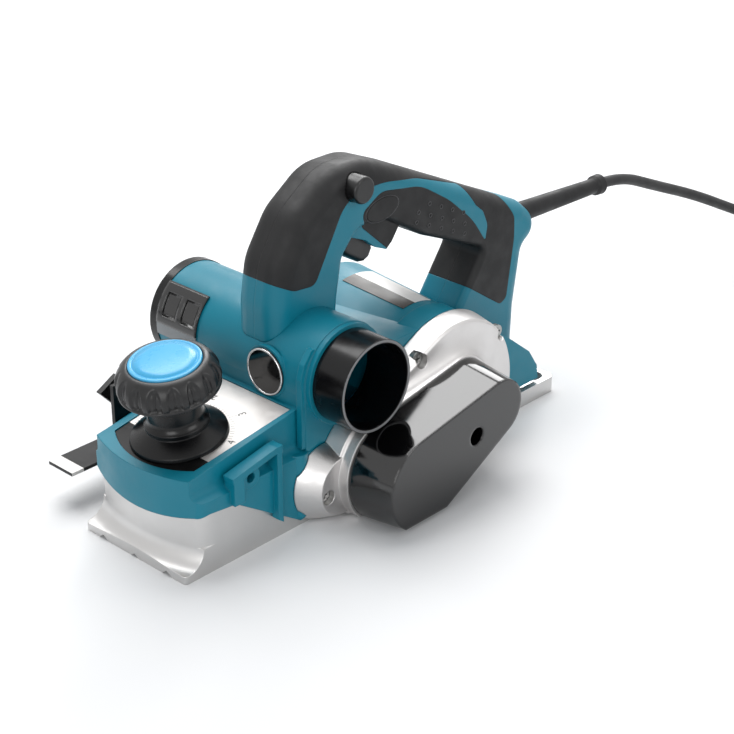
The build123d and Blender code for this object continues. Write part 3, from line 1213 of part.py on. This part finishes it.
finish(cord_tube(CORD_ROUTE, "cord") - cord_coil.part, "cord")
finish(cord_tube(TAIL_ROUTE, "tail") - cord_coil.part - plug.part, "cord_tail")

# ---- screws -------------------------------------------------------------------------------
with BuildPart() as housing_screws:
    for spot in CASE_SCREWS:
        disc(spot, 2.0, SKIRT_OUT + GAP, CASE_SEAT_Y + 6)
        disc(spot, 3.9, CASE_SEAT_Y + 6, CASE_SEAT_Y + 9)
        with BuildSketch(at_y(CASE_SEAT_Y + 7.5)) as recess:
            with Locations(spot):
                Rectangle(4.6, 1)
                Rectangle(1, 4.6)
        extrude(recess.sketch, amount=-3, mode=Mode.SUBTRACT)
    for spot in BRACKET_SCREWS:
        disc(spot, 1.6, -BASE_HALF_W - 3, -BASE_HALF_W)
        disc(spot, 3.2, -BASE_HALF_W - 5, -BASE_HALF_W - 3)
finish(housing_screws.part, "housing_screws")

with BuildPart() as handle_screws:
    for spot in HANDLE_SCREWS:
        disc(spot, 1.7, -14, 7.8)
        disc(spot, 3.2, -15.5, -12)
finish(handle_screws.part, "handle_screws")
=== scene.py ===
"""Electric hand planer: looks built round the CAD model. Metres, +X to the knob, +Y to the belt cover."""

import bmesh
import bpy
from math import cos, pi, radians, sin
from mathutils import Matrix, Vector


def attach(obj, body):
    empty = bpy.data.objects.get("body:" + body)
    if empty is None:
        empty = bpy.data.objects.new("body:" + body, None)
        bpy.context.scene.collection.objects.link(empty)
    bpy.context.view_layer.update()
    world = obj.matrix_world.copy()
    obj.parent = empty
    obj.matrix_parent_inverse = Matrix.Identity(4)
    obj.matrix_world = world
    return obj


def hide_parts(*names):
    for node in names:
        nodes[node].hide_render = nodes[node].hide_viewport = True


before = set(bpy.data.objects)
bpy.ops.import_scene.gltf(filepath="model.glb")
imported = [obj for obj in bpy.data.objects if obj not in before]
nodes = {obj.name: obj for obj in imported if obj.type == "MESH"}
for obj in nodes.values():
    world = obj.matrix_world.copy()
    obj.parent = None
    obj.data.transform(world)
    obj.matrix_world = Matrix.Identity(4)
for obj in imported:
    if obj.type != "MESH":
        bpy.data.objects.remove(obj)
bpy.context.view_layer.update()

# ---- camera -------------------------------------------------------------------------------
# A short telephoto view from the front left, a little above the knob.
to_camera = Vector((0.6489, 0.6142, 0.4490)).normalized()
lens = bpy.data.cameras.new("camera")
lens.lens = 88.26
lens.sensor_width = 36.0
lens.clip_start = 0.05
lens.clip_end = 50.0
camera = bpy.data.objects.new("camera", lens)
camera.location = (0.6371, 0.6276, 0.5047)
camera.rotation_mode = "QUATERNION"
camera.rotation_quaternion = (-to_camera).to_track_quat("-Z", "Y")
bpy.context.scene.collection.objects.link(camera)
bpy.context.scene.camera = camera
bpy.context.scene.view_settings.view_transform = "Standard"

# ---- supply cord --------------------------------------------------------------------------
# Two-core rubber flex, 7 mm across, moulded into the guard at one end and the plug at the other.
# What lies out of sight is wound into a flat coil: four turns inwards, then four outwards on top.
CORD_D = 0.007
CORD_RUN = [
    (-0.2400, 0.0000, 0.0975),
    (-0.2620, 0.0000, 0.0964),
    (-0.3000, 0.0010, 0.0800),
    (-0.3460, 0.0030, 0.0610),
    (-0.3920, 0.0080, 0.0380),
    (-0.4360, 0.0170, 0.0170),
    (-0.4800, 0.0320, 0.0036),
    (-0.5110, 0.0640, 0.0036),
    (-0.5170, 0.1040, 0.0036),
]
CORD_TAIL = [
    (-0.4206, 0.1503, 0.0104),
    (-0.4115, 0.1422, 0.0108),
    (-0.4020, 0.1315, 0.0122),
    (-0.3940, 0.1210, 0.0130),
]
COIL_MIDDLE = (-0.455, 0.112)
OUTER_TURN = 0.0515
TURN_STEP = 0.007
LAYER_Z = (0.0036, 0.0106)
STEPS_A_TURN = 16
FIRST_ANGLE = 150.0
LAST_ANGLE = 48.0


def shift(share):
    """0 over the first four fifths of a turn, then an even climb to 1."""
    return max(0.0, (share - 0.8) / 0.2)


coil = []
for step in range(int((7 + (FIRST_ANGLE - LAST_ANGLE) / 360) * STEPS_A_TURN) + 1):
    turn, part = divmod(step / STEPS_A_TURN, 1)
    swing = radians(FIRST_ANGLE - 360 * step / STEPS_A_TURN)
    if turn < 3:
        inward, rise = turn + shift(part), 0
    elif turn == 3:
        inward, rise = 3, shift(part)
    else:
        inward, rise = 7 - turn - shift(part), 1
    reach = OUTER_TURN - TURN_STEP * inward
    height = LAYER_Z[0] + (LAYER_Z[1] - LAYER_Z[0]) * rise
    coil.append((COIL_MIDDLE[0] + reach * cos(swing), COIL_MIDDLE[1] + reach * sin(swing), height))
cord_curve = bpy.data.curves.new("supply_cord", "CURVE")
cord_curve.dimensions = "3D"
cord_curve.bevel_depth = CORD_D / 2
cord_curve.bevel_resolution = 6
cord_curve.resolution_u = 8
cord_curve.use_fill_caps = True
route = cord_curve.splines.new("NURBS")
control = CORD_RUN + coil + CORD_TAIL
route.points.add(len(control) - 1)
for point, place in zip(route.points, control):
    point.co = (*place, 1.0)
route.order_u = 3
route.use_endpoint_u = True
supply_cord = bpy.data.objects.new("supply_cord", cord_curve)
bpy.context.scene.collection.objects.link(supply_cord)


def linear(code):
    """Linear colour of an sRGB hex code."""
    channels = [int(code[i : i + 2], 16) / 255 for i in (1, 3, 5)]
    return [c / 12.92 if c <= 0.04045 else ((c + 0.055) / 1.055) ** 2.4 for c in channels] + [1.0]


def add_node(tree, kind, settings=None, **links):
    """One shader node. Settings go to its inputs or properties, and links feed its inputs."""
    made = tree.nodes.new("ShaderNode" + kind)
    for key, value in (settings or {}).items():
        if isinstance(key, int) or key in made.inputs:
            made.inputs[key].default_value = value
        else:
            setattr(made, key, value)
    for key, socket in links.items():
        name = key.replace("_", " ")
        tree.links.new(socket, made.inputs[int(key[1:]) if key[0] == "i" and key[1:].isdigit() else name])
    return made


def surface(
    name, colour, other, rough, metal=0.0, grain=0.0, grain_size=0.4, patch=25.0, edge=0.0, **sockets
):
    """Principled material. Two close colours drift over patches (mm). Grain is the bump of a moulded or
    blasted skin with pits of grain_size (mm), and edge (mm) softens the light on corners."""
    made = bpy.data.materials.new(name)
    made.use_nodes = True
    tree = made.node_tree
    shader = tree.nodes["Principled BSDF"]
    shader.inputs["Metallic"].default_value = metal
    for key, value in sockets.items():
        shader.inputs[key.replace("_", " ")].default_value = value
    place = add_node(tree, "TexCoord").outputs["Object"]
    drift = add_node(tree, "TexNoise", {"Scale": 1000 / patch, "Detail": 3.0}, Vector=place)
    colours = {"data_type": "RGBA", 6: linear(colour), 7: linear(other)}
    tint = add_node(tree, "Mix", colours, i0=drift.outputs[0])
    tree.links.new(tint.outputs[2], shader.inputs["Base Color"])
    low, high = {"To Min": rough * 0.85, "To Max": rough * 1.15}, {"From Min": 0.35, "From Max": 0.65}
    smear = add_node(tree, "TexNoise", {"Scale": 1000 / (patch * 0.4), "Detail": 4.0}, Vector=place)
    sheen = add_node(tree, "MapRange", {**low, **high}, Value=smear.outputs[0])
    tree.links.new(sheen.outputs[0], shader.inputs["Roughness"])
    normal = {}
    if edge:
        normal["Normal"] = add_node(tree, "Bevel", {"samples": 6, "Radius": edge / 1000}).outputs[0]
    if grain:
        pits = add_node(tree, "TexNoise", {"Scale": 1000 / grain_size, "Detail": 2.0}, Vector=place)
        dents = {"Strength": grain, "Distance": 0.0002}
        normal["Normal"] = add_node(tree, "Bump", dents, Height=pits.outputs[0], **normal).outputs[0]
    if normal:
        tree.links.new(normal["Normal"], shader.inputs["Normal"])
    return made


def dress(material, *node_names):
    """Gives CAD nodes a finish in place of the plain one."""
    for node_name in node_names:
        slots = nodes[node_name].data.materials
        slots.clear()
        slots.append(material)


# Rubber sheath: matt, with a fine drawn texture.
sheath = surface("extruded rubber sheath, black", "#232324", "#2B2B2C", 0.6, grain=0.25, grain_size=0.8)
cord_curve.materials.append(sheath)
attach(supply_cord, "main")
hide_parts("cord", "cord_tail", "cord_coil")

# ---- studio -------------------------------------------------------------------------------
# A pale floor under a dim sky, one broad soft box above and behind, and weaker ones from the front and back.
world = bpy.data.worlds.new("studio")
bpy.context.scene.world = world
world.use_nodes = True
sky = world.node_tree
sky.nodes.clear()
rays = add_node(sky, "LightPath")
either = {"operation": "MAXIMUM"}
glossy, through = rays.outputs["Is Glossy Ray"], rays.outputs["Is Transmission Ray"]
shine = add_node(sky, "Math", either, i0=glossy, i1=through)
seen = add_node(sky, "Math", either, i0=rays.outputs["Is Camera Ray"], i1=shine.outputs[0])
dim = add_node(sky, "Background", {"Color": (0.9, 0.95, 1.0, 1), "Strength": 0.30})
pale = add_node(sky, "Background", {"Color": (1, 1, 1, 1), "Strength": 0.9})
mixed = add_node(sky, "MixShader", None, i0=seen.outputs[0], i1=dim.outputs[0], i2=pale.outputs[0])
add_node(sky, "OutputWorld", None, Surface=mixed.outputs[0])

floor_mesh = bmesh.new()
bmesh.ops.create_grid(floor_mesh, x_segments=1, y_segments=1, size=6.0)
floor_data = bpy.data.meshes.new("floor")
floor_mesh.to_mesh(floor_data)
floor_mesh.free()
floor = bpy.data.objects.new("floor", floor_data)
bpy.context.scene.collection.objects.link(floor)
floor_data.materials.append(surface("matt paper sweep", "#ECECEC", "#EBEBEC", 0.9, Specular_IOR_Level=0.1))

for name, at, size, power in (
    ("soft box overhead", (-0.20, -0.50, 1.30), 1.1, 20.0),
    ("soft box front", (1.5, 0.6, 0.7), 0.8, 7.0),
    ("soft box left", (-0.2, 1.5, 0.9), 0.9, 6.0),
    ("rim light", (-1.1, -0.7, 0.9), 0.6, 8.0),
):
    lamp = bpy.data.lights.new(name, "AREA")
    lamp.shape = "SQUARE"
    lamp.size = size
    lamp.energy = power
    lamp_object = bpy.data.objects.new(name, lamp)
    lamp_object.location = at
    lamp_object.rotation_mode = "QUATERNION"
    lamp_object.rotation_quaternion = (Vector((0, 0, 0.06)) - Vector(at)).to_track_quat("-Z", "Y")
    bpy.context.scene.collection.objects.link(lamp_object)

# ---- housing and handle shells ------------------------------------------------------------
# Glass-filled nylon mouldings, teal right through, with a fine spark-eroded skin.
teal_skin = {"grain": 0.10, "grain_size": 0.35, "edge": 0.7, "Specular_IOR_Level": 0.4}
teal = surface("moulded nylon, teal", "#007C92", "#007489", 0.40, **teal_skin)
dress(teal, "main_housing", "handle_left", "handle_right")

# ---- soft grips and cord guard ------------------------------------------------------------
# Elastomer moulded over the shells, matt and finely pitted; the guard is the same stuff, moulded on the cord.
rubber_skin = {"grain": 0.22, "grain_size": 0.5, "edge": 0.8, "Specular_IOR_Level": 0.35}
rubber = surface("overmoulded elastomer, black", "#151516", "#1B1B1C", 0.55, **rubber_skin)
dress(rubber, "grip_left", "grip_right", "cord_guard", "drive_belt")


def finished(name, mesh, material, body, smooth=True):
    """Object at the origin from a bmesh, riding on a body, with its finish."""
    data = bpy.data.meshes.new(name)
    bmesh.ops.recalc_face_normals(mesh, faces=mesh.faces)
    mesh.to_mesh(data)
    mesh.free()
    for face in data.polygons:
        face.use_smooth = smooth
    data.materials.append(material)
    piece = bpy.data.objects.new(name, data)
    bpy.context.scene.collection.objects.link(piece)
    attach(piece, body)
    return piece


def side_place(x, z, y, side):
    """Frame on the tool's left (side 1) or right (side -1), its z axis pointing outwards. Millimetres in."""
    outwards = Matrix.Rotation(radians(-90 * side), 4, "X")
    return Matrix.Translation((x / 1000, y * side / 1000, z / 1000)) @ outwards


def ring(mesh, place, radius, half_w, height, steps=96):
    """Flat-bottomed ring with a rounded top about the z axis of place."""
    others = set(mesh.verts)
    shoulder = half_w * 0.7
    outline = [(radius - half_w, 0), (radius - shoulder, height * 0.8), (radius, height)]
    outline += [(radius + shoulder, height * 0.8), (radius + half_w, 0)]
    points = [mesh.verts.new((x, 0, z)) for x, z in outline]
    edges = [mesh.edges.new(pair) for pair in zip(points, points[1:])]
    bmesh.ops.spin(
        mesh, geom=points + edges, cent=(0, 0, 0), axis=(0, 0, 1), angle=2 * pi, steps=steps, use_merge=True
    )
    bmesh.ops.transform(mesh, matrix=place, verts=[corner for corner in mesh.verts if corner not in others])


# A raised oval pad for the thumb on each cheek, and behind it dimples for the finger tips in three rows:
# each pit is a flat near-black disc, painted shade, and each has a raised lip coloured lighter grey, a
# painted highlight.
CHEEK_Y = 16.5
PAD_AT = (-20.4, 148.2)
PAD_HALF = (0.0123, 0.0064)
PAD_TURN = radians(4)
PAD_UP = 0.0005
PAD_EDGE = 0.0004
DIMPLE_R = 0.0011
LIP_HALF_W = 0.00028
LIP_UP = 0.0003
DIMPLE_ROWS = (
    ((-58.7, 140.4), (-87.8, 126.6), 4),
    ((-49.7, 137.7), (-89.0, 119.6), 5),
    ((-48.2, 132.2), (-89.2, 113.4), 5),
)
# The pits are flat near-black discs just off the grip surface: painted shade in the dimples.
painted_shade_pits = surface("elastomer in shadow", "#060606", "#080808", 0.8, grain=0.2)
# The lips and the pad's outline ring are a lighter grey than the rubber: a painted highlight on their edges.
painted_highlight_lips = surface("elastomer lip, painted highlight", "#3A3A3C", "#323234", 0.35)
for side, grip in ((1, "grip_left"), (-1, "grip_right")):
    cups = bmesh.new()
    lips = bmesh.new()
    for first, last, count in DIMPLE_ROWS:
        for n in range(count):
            share = n / (count - 1)
            x = first[0] + (last[0] - first[0]) * share
            z = first[1] + (last[1] - first[1]) * share
            place = side_place(x, z, CHEEK_Y, side)
            cup = bmesh.ops.create_circle(cups, cap_ends=True, radius=DIMPLE_R, segments=20)
            bmesh.ops.transform(cups, matrix=place @ Matrix.Translation((0, 0, 0.0001)), verts=cup["verts"])
            ring(lips, place, DIMPLE_R, LIP_HALF_W, LIP_UP, steps=20)
    finished("dimple_painted_shade_" + grip, cups, painted_shade_pits, "main", smooth=False)
    finished("dimple_lips_" + grip, lips, painted_highlight_lips, "main")
    pad = bmesh.new()
    oval = bmesh.ops.create_circle(pad, cap_ends=True, radius=1.0, segments=64)["verts"]
    bmesh.ops.transform(pad, matrix=Matrix.Diagonal((*PAD_HALF, 1, 1)), verts=oval)
    raised = bmesh.ops.extrude_face_region(pad, geom=list(pad.faces))["geom"]
    top = [item for item in raised if isinstance(item, bmesh.types.BMVert)]
    bmesh.ops.translate(pad, vec=(0, 0, PAD_UP), verts=top)
    brim = [edge for edge in pad.edges if all(corner.co.z > PAD_UP / 2 for corner in edge.verts)]
    bmesh.ops.bevel(pad, geom=brim, affect="EDGES", offset=PAD_EDGE, segments=3, profile=0.5, material=-1)
    place = side_place(*PAD_AT, CHEEK_Y, side) @ Matrix.Rotation(PAD_TURN * side, 4, "Z")
    bmesh.ops.transform(pad, matrix=place, verts=pad.verts)
    finished("thumb_pad_" + grip, pad, rubber, "main", smooth=False)
    # Ring round the pad's brim in the lighter grey: a painted highlight along its edge.
    outline = bmesh.new()
    ring(outline, Matrix.Diagonal((*PAD_HALF, 1, 1)), 1.04, 0.035, LIP_UP, steps=64)
    bmesh.ops.transform(outline, matrix=place, verts=outline.verts)
    finished("thumb_pad_edge_" + grip, outline, painted_highlight_lips, "main")

# ---- gear case, soles and drum castings ---------------------------------------------------
# Die-cast aluminium, glass-bead blasted; only the soles' undersides are milled.
blasted = {"metal": 1.0, "grain": 0.3, "grain_size": 0.6, "edge": 0.8}
cast = surface("bead-blasted die-cast aluminium", "#D6D4D3", "#CCCAC9", 0.42, **blasted)
dress(cast, "gear_case", "drum", "bearing_bracket", "drum_pulley", "motor_pulley")
dress(cast, "blade_clamp_a", "blade_clamp_b")
cut = {"metal": 1.0, "grain": 0.18, "grain_size": 0.4, "edge": 0.6}
milled = surface("milled and blasted aluminium", "#D2D1D0", "#C6C5C4", 0.34, **cut)
dress(milled, "rear_base", "front_base")

# ---- belt cover, nozzle and duct end ------------------------------------------------------
# Black ABS from polished moulds, with well rounded edges that catch the light.
gloss = surface("polished ABS, black", "#050506", "#070708", 0.07, edge=2.2, IOR=1.7)
dress(gloss, "belt_cover", "side_grille", "badge")
dull = {"edge": 0.8, "Specular_IOR_Level": 0.35}
semi_gloss = surface("moulded ABS, semi-gloss black", "#050506", "#08080A", 0.24, **dull)
dress(semi_gloss, "nozzle", "duct_end_ring", "knob_dial")

# ---- satin black parts --------------------------------------------------------------------
# Knob grip, trigger, lock button, screw knob and plug: nylon and PVC mouldings with a satin skin.
satin_skin = {"grain": 0.08, "grain_size": 0.4, "edge": 0.6}
satin = surface("moulded nylon, satin black", "#101011", "#141415", 0.34, **satin_skin)
dress(satin, "knob_grip", "trigger", "lock_button", "guide_screw", "rear_foot", "plug", "switch_body", "fan")
dress(satin, "motor_end_cap", "brush_front", "brush_rear")
dress(surface("moulded nylon, grey", "#8B8F92", "#85898C", 0.4, grain=0.1), "grille_strip")

# ---- steel parts --------------------------------------------------------------------------
# Zinc plated screws and pressed steel guide; ground blades; bright turned shafts and bearing rings.
zinc = surface("zinc plated steel", "#A9AAA8", "#9C9D9C", 0.3, metal=1.0, edge=0.3, patch=8.0)
dress(zinc, "rear_foot_pin", "cover_screw", "clamp_bolts_a", "clamp_bolts_b", "trigger_pin", "housing_screws")
dress(zinc, "handle_screws", "knob_spindle")
bright = surface("turned and ground steel", "#C4C5C6", "#BBBCBD", 0.2, metal=1.0, patch=6.0)
dress(bright, "armature_shaft", "motor_bearing_left", "motor_bearing_right", "drum_bearing_left")
dress(bright, "drum_bearing_right", "blade_a", "blade_b")

# ---- depth guide --------------------------------------------------------------------------
# Bent steel strip, phosphated black, with a small bare white sticker near its toe.
STICKER_X = (0.132, 0.140)
blackened = surface("phosphated steel, black", "#0E0E0F", "#151516", 0.38, metal=0.3, edge=0.3)
tree = blackened.node_tree
spot = add_node(tree, "SeparateXYZ", None, Vector=add_node(tree, "TexCoord").outputs["Object"])
past = add_node(tree, "Math", {"operation": "GREATER_THAN", 1: STICKER_X[0]}, i0=spot.outputs[0])
short = add_node(tree, "Math", {"operation": "LESS_THAN", 1: STICKER_X[1]}, i0=spot.outputs[0])
stuck = add_node(tree, "Math", {"operation": "MULTIPLY"}, i0=past.outputs[0], i1=short.outputs[0])
bare = tree.nodes["Principled BSDF"].inputs["Base Color"].links[0].from_socket
shown = add_node(tree, "Mix", {"data_type": "RGBA", 7: linear("#E2E0DD")}, i0=stuck.outputs[0], i6=bare)
tree.links.new(shown.outputs[2], tree.nodes["Principled BSDF"].inputs["Base Color"])
dress(blackened, "depth_guide")

# ---- motor windings and cores -------------------------------------------------------------
# Varnished copper coils and commutator, and stacked electrical steel.
copper = surface("varnished copper", "#B9693C", "#A75A30", 0.32, metal=1.0, grain=0.4, grain_size=1.0)
dress(copper, "commutator", "field_coils")
stacked = surface("stacked electrical steel", "#5A5A5C", "#505052", 0.45, metal=1.0, grain=0.3)
dress(stacked, "armature_core", "field_core")

# ---- depth knob ---------------------------------------------------------------------------
# Black nylon grip on the spindle: sixteen arched scoops for the fingers, each with a fine slit down its
# middle, and a light blue ABS lid pressed into its top. It is nearer the real size than its solid.
KNOB_FOOT = Vector((0.114, 0.0, 0.0573))
TILT = radians(9.0)
DECK = Matrix.Translation(KNOB_FOOT) @ Matrix.Rotation(TILT, 4, "Y")
KNOB_PROFILE = (
    (12.9, 25.1), (14.3, 25.1), (14.3, 29.2), (16.0, 30.3), (24.6, 30.0), (25.9, 30.2),
    (26.6, 30.8), (26.6, 31.6), (26.2, 32.0), (26.6, 32.6), (27.0, 33.6), (27.2, 34.6),
    (27.3, 35.6), (27.3, 36.6), (27.2, 37.6), (27.0, 38.6), (26.7, 39.6), (26.3, 40.6),
    (25.8, 41.6), (25.2, 42.6), (24.4, 43.6), (23.4, 44.6), (22.2, 45.5), (20.8, 46.2),
    (19.9, 46.4), (19.3, 46.1), (19.25, 43.8), (12.9, 43.8),
)
LID_PROFILE = (
    (0.0, 43.9), (19.0, 43.9), (19.05, 46.7), (18.7, 47.0), (17.3, 47.4), (17.1, 47.0),
    (16.7, 47.0), (16.5, 47.5), (12.0, 48.0), (6.0, 48.35), (0.0, 48.45),
)
SCOOPS = 16
SCOOP_DEPTH = 1.5
SCOOP_Z = (32.3, 46.0)
SCOOP_HALF = 0.36
ARCH_FROM_Z = 38.0
ARCH_UP = 6.5
SLIT_DEPTH = 0.8
SLIT_HALF = (0.02, 0.06)
SLIT_END_Z = (41, 43)
OUTSIDE_R = 20
STEPS_A_SCOOP = 24


def turned_piece(profile, steps):
    """Mesh of a turned piece from (radius, height) points in mm; a profile that leaves the axis is closed."""
    mesh = bmesh.new()
    points = [mesh.verts.new((r / 1000, 0, z / 1000)) for r, z in profile]
    edges = [mesh.edges.new(pair) for pair in zip(points, points[1:])]
    if profile[0][0] > 0:
        edges.append(mesh.edges.new((points[-1], points[0])))
    bmesh.ops.spin(
        mesh, geom=points + edges, cent=(0, 0, 0), axis=(0, 0, 1), angle=2 * pi, steps=steps, use_merge=True
    )
    bmesh.ops.remove_doubles(mesh, verts=mesh.verts, dist=1e-7)
    return mesh


def ease(value, low, high):
    """0 below low, 1 above high, smooth between."""
    share = min(1.0, max(0.0, (value - low) / (high - low)))
    return share * share * (3 - 2 * share)


grip = turned_piece(KNOB_PROFILE, SCOOPS * STEPS_A_SCOOP)
for corner in grip.verts:
    radius, height = Vector(corner.co[:2]).length * 1000, corner.co.z * 1000
    if radius > OUTSIDE_R and SCOOP_Z[0] < height < SCOOP_Z[1]:
        share = (Vector((1, 0)).angle_signed(Vector(corner.co[:2])) * SCOOPS / (2 * pi)) % 1 - 0.5
        arch = ((share / SCOOP_HALF) ** 2 + max(0.0, (height - ARCH_FROM_Z) / ARCH_UP) ** 2) ** 0.5
        slit = (1 - ease(abs(share), *SLIT_HALF)) * (1 - ease(height, *SLIT_END_Z))
        cut = SCOOP_DEPTH * (1 - ease(arch, 0.78, 1.0)) + SLIT_DEPTH * slit
        corner.co.xy *= 1 - cut / radius
bmesh.ops.transform(grip, matrix=DECK, verts=grip.verts)
knob_body = finished("knob_body", grip, satin, "knob")
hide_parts("knob_grip")

lid = turned_piece(LID_PROFILE, 128)
bmesh.ops.transform(lid, matrix=DECK, verts=lid.verts)
blue = surface("moulded ABS, light blue", "#47AEDD", "#43A9D8", 0.28, edge=0.3)
knob_lid = finished("knob_lid", lid, blue, "knob")
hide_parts("knob_cap")

# ---- rating label -------------------------------------------------------------------------
# Polyester film stuck over the top of the motor barrel: white, with a dark band along its front edge and
# nothing printed on it. It is bent to the barrel, which widens a little towards its far side.
MOTOR_CENTRE = (-0.039, 0.0, 0.046)
LABEL_FROM = radians(80.0)
LABEL_BEND = radians(32.0)
LABEL_ENDS = ((-24.0, 45.35), (22.0, 41.92))
LABEL_THICK = 0.25
BAND_FROM_X = -0.0415
film = surface("printed polyester film", "#E9E7E4", "#E4E2DF", 0.35)
band_ink = surface("dark band on polyester film", "#3A3734", "#423F3B", 0.4)
sheet = bmesh.new()
section = [*LABEL_ENDS, *((y, r + LABEL_THICK) for y, r in reversed(LABEL_ENDS))]
corners = [sheet.verts.new((MOTOR_CENTRE[0] + r / 1000, y / 1000, MOTOR_CENTRE[2])) for y, r in section]
face = sheet.faces.new(corners)
bmesh.ops.rotate(sheet, cent=MOTOR_CENTRE, matrix=Matrix.Rotation(-LABEL_FROM, 3, "Y"), verts=corners)
bmesh.ops.spin(
    sheet, geom=[face], cent=MOTOR_CENTRE, axis=(0, -1, 0), angle=LABEL_BEND, steps=32, use_merge=False
)
label = finished("label_film", sheet, film, "main", smooth=False)
label.data.materials.append(band_ink)
for patch in label.data.polygons:
    if patch.center.x > BAND_FROM_X:
        patch.material_index = 1
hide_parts("rating_label")

# ---- scale plate --------------------------------------------------------------------------
# Aluminium sheet let into the deck. Its front is printed black; behind the dial it has the depth scale.
BLACK_FROM_X = 0.1219
tin = surface("brushed aluminium sheet", "#D9D5D2", "#D0CCC9", 0.38, metal=0.55, patch=10.0)
tree = tin.node_tree
spot = add_node(tree, "SeparateXYZ", None, Vector=add_node(tree, "TexCoord").outputs["Object"])
front = add_node(tree, "Math", {"operation": "GREATER_THAN", 1: BLACK_FROM_X}, i0=spot.outputs[0])
bare = tree.nodes["Principled BSDF"].inputs["Base Color"].links[0].from_socket
painted = add_node(tree, "Mix", {"data_type": "RGBA", 7: linear("#0C0C0D")}, i0=front.outputs[0], i6=bare)
tree.links.new(painted.outputs[2], tree.nodes["Principled BSDF"].inputs["Base Color"])
dress(tin, "scale_plate")
ink = surface("screen ink, black", "#0C0C0D", "#101011", 0.35)
PRINT_UP = 0.00106
NUMBER_AT = ((4, 111, 29.9), (3, 156, 34.6), (2, 196, 35), (1, 247, 30.5))
TICK_IN = 0.0265
TICK_OUT = (0.0290, 0.0320)
TICK_HALF = 0.00012

marks = bmesh.new()
for tenth in range(41):
    whole = tenth % 10 == 0
    angle = radians(292 - tenth * 4.5)
    tick = bmesh.ops.create_grid(marks, x_segments=1, y_segments=1, size=0.5)
    length = TICK_OUT[whole] - TICK_IN
    stretch = Matrix.Diagonal((length, 2 * TICK_HALF, 1, 1))
    out = Matrix.Rotation(angle, 4, "Z") @ Matrix.Translation((TICK_IN + length / 2, 0, PRINT_UP))
    bmesh.ops.transform(marks, matrix=DECK @ out @ stretch, verts=tick["verts"])
for number, angle, reach in NUMBER_AT:
    words = bpy.data.curves.new("number", "FONT")
    words.body = str(number)
    words.size = 0.0062
    words.align_x = "CENTER"
    words.align_y = "CENTER"
    lettered = bpy.data.objects.new("number", words)
    shape = bpy.data.meshes.new_from_object(lettered)
    turned = Matrix.Rotation(radians(angle), 4, "Z") @ Matrix.Translation((reach / 1000, 0, PRINT_UP))
    shape.transform(DECK @ turned @ Matrix.Rotation(radians(90), 4, "Z"))
    marks.from_mesh(shape)
    bpy.data.objects.remove(lettered)
    bpy.data.meshes.remove(shape)
finished("scale_print", marks, ink, "main", smooth=False)

# ---- badge ring ---------------------------------------------------------------------------
# A thin chromed ring round the badge's bare black face.
BADGE_MIDDLE = Vector((0.0652, 0.0125, 0.0806))
BADGE_RING_R = 0.0126
BADGE_RING_HALF_W = 0.0005
BADGE_RING_UP = 0.0004
chrome = surface("chromed ring", "#D8D9DA", "#D2D3D4", 0.12, metal=1.0, patch=8.0)

rim = bmesh.new()
facing_front = Matrix.Translation(BADGE_MIDDLE) @ Matrix.Rotation(radians(90), 4, "Y")
ring(rim, facing_front, BADGE_RING_R, BADGE_RING_HALF_W, BADGE_RING_UP)
finished("badge_ring", rim, chrome, "main")

# ---- nozzle rim ---------------------------------------------------------------------------
# The mouth's rolled edge, coloured mid grey: a painted highlight along the rim.
MOUTH = Vector((0.0355, 0.065, 0.0793))
MOUTH_R = 0.0247
MOUTH_RIM_HALF_W = 0.0007
MOUTH_RIM_UP = 0.0004
painted_highlight_rim = surface("ABS edge, painted highlight grey", "#6E6F71", "#7C7D7F", 0.35)
lip = bmesh.new()
facing_left = Matrix.Translation(MOUTH) @ Matrix.Rotation(radians(-90), 4, "X")
ring(lip, facing_left, MOUTH_R, MOUTH_RIM_HALF_W, MOUTH_RIM_UP)
finished("nozzle_rim", lip, painted_highlight_rim, "main")
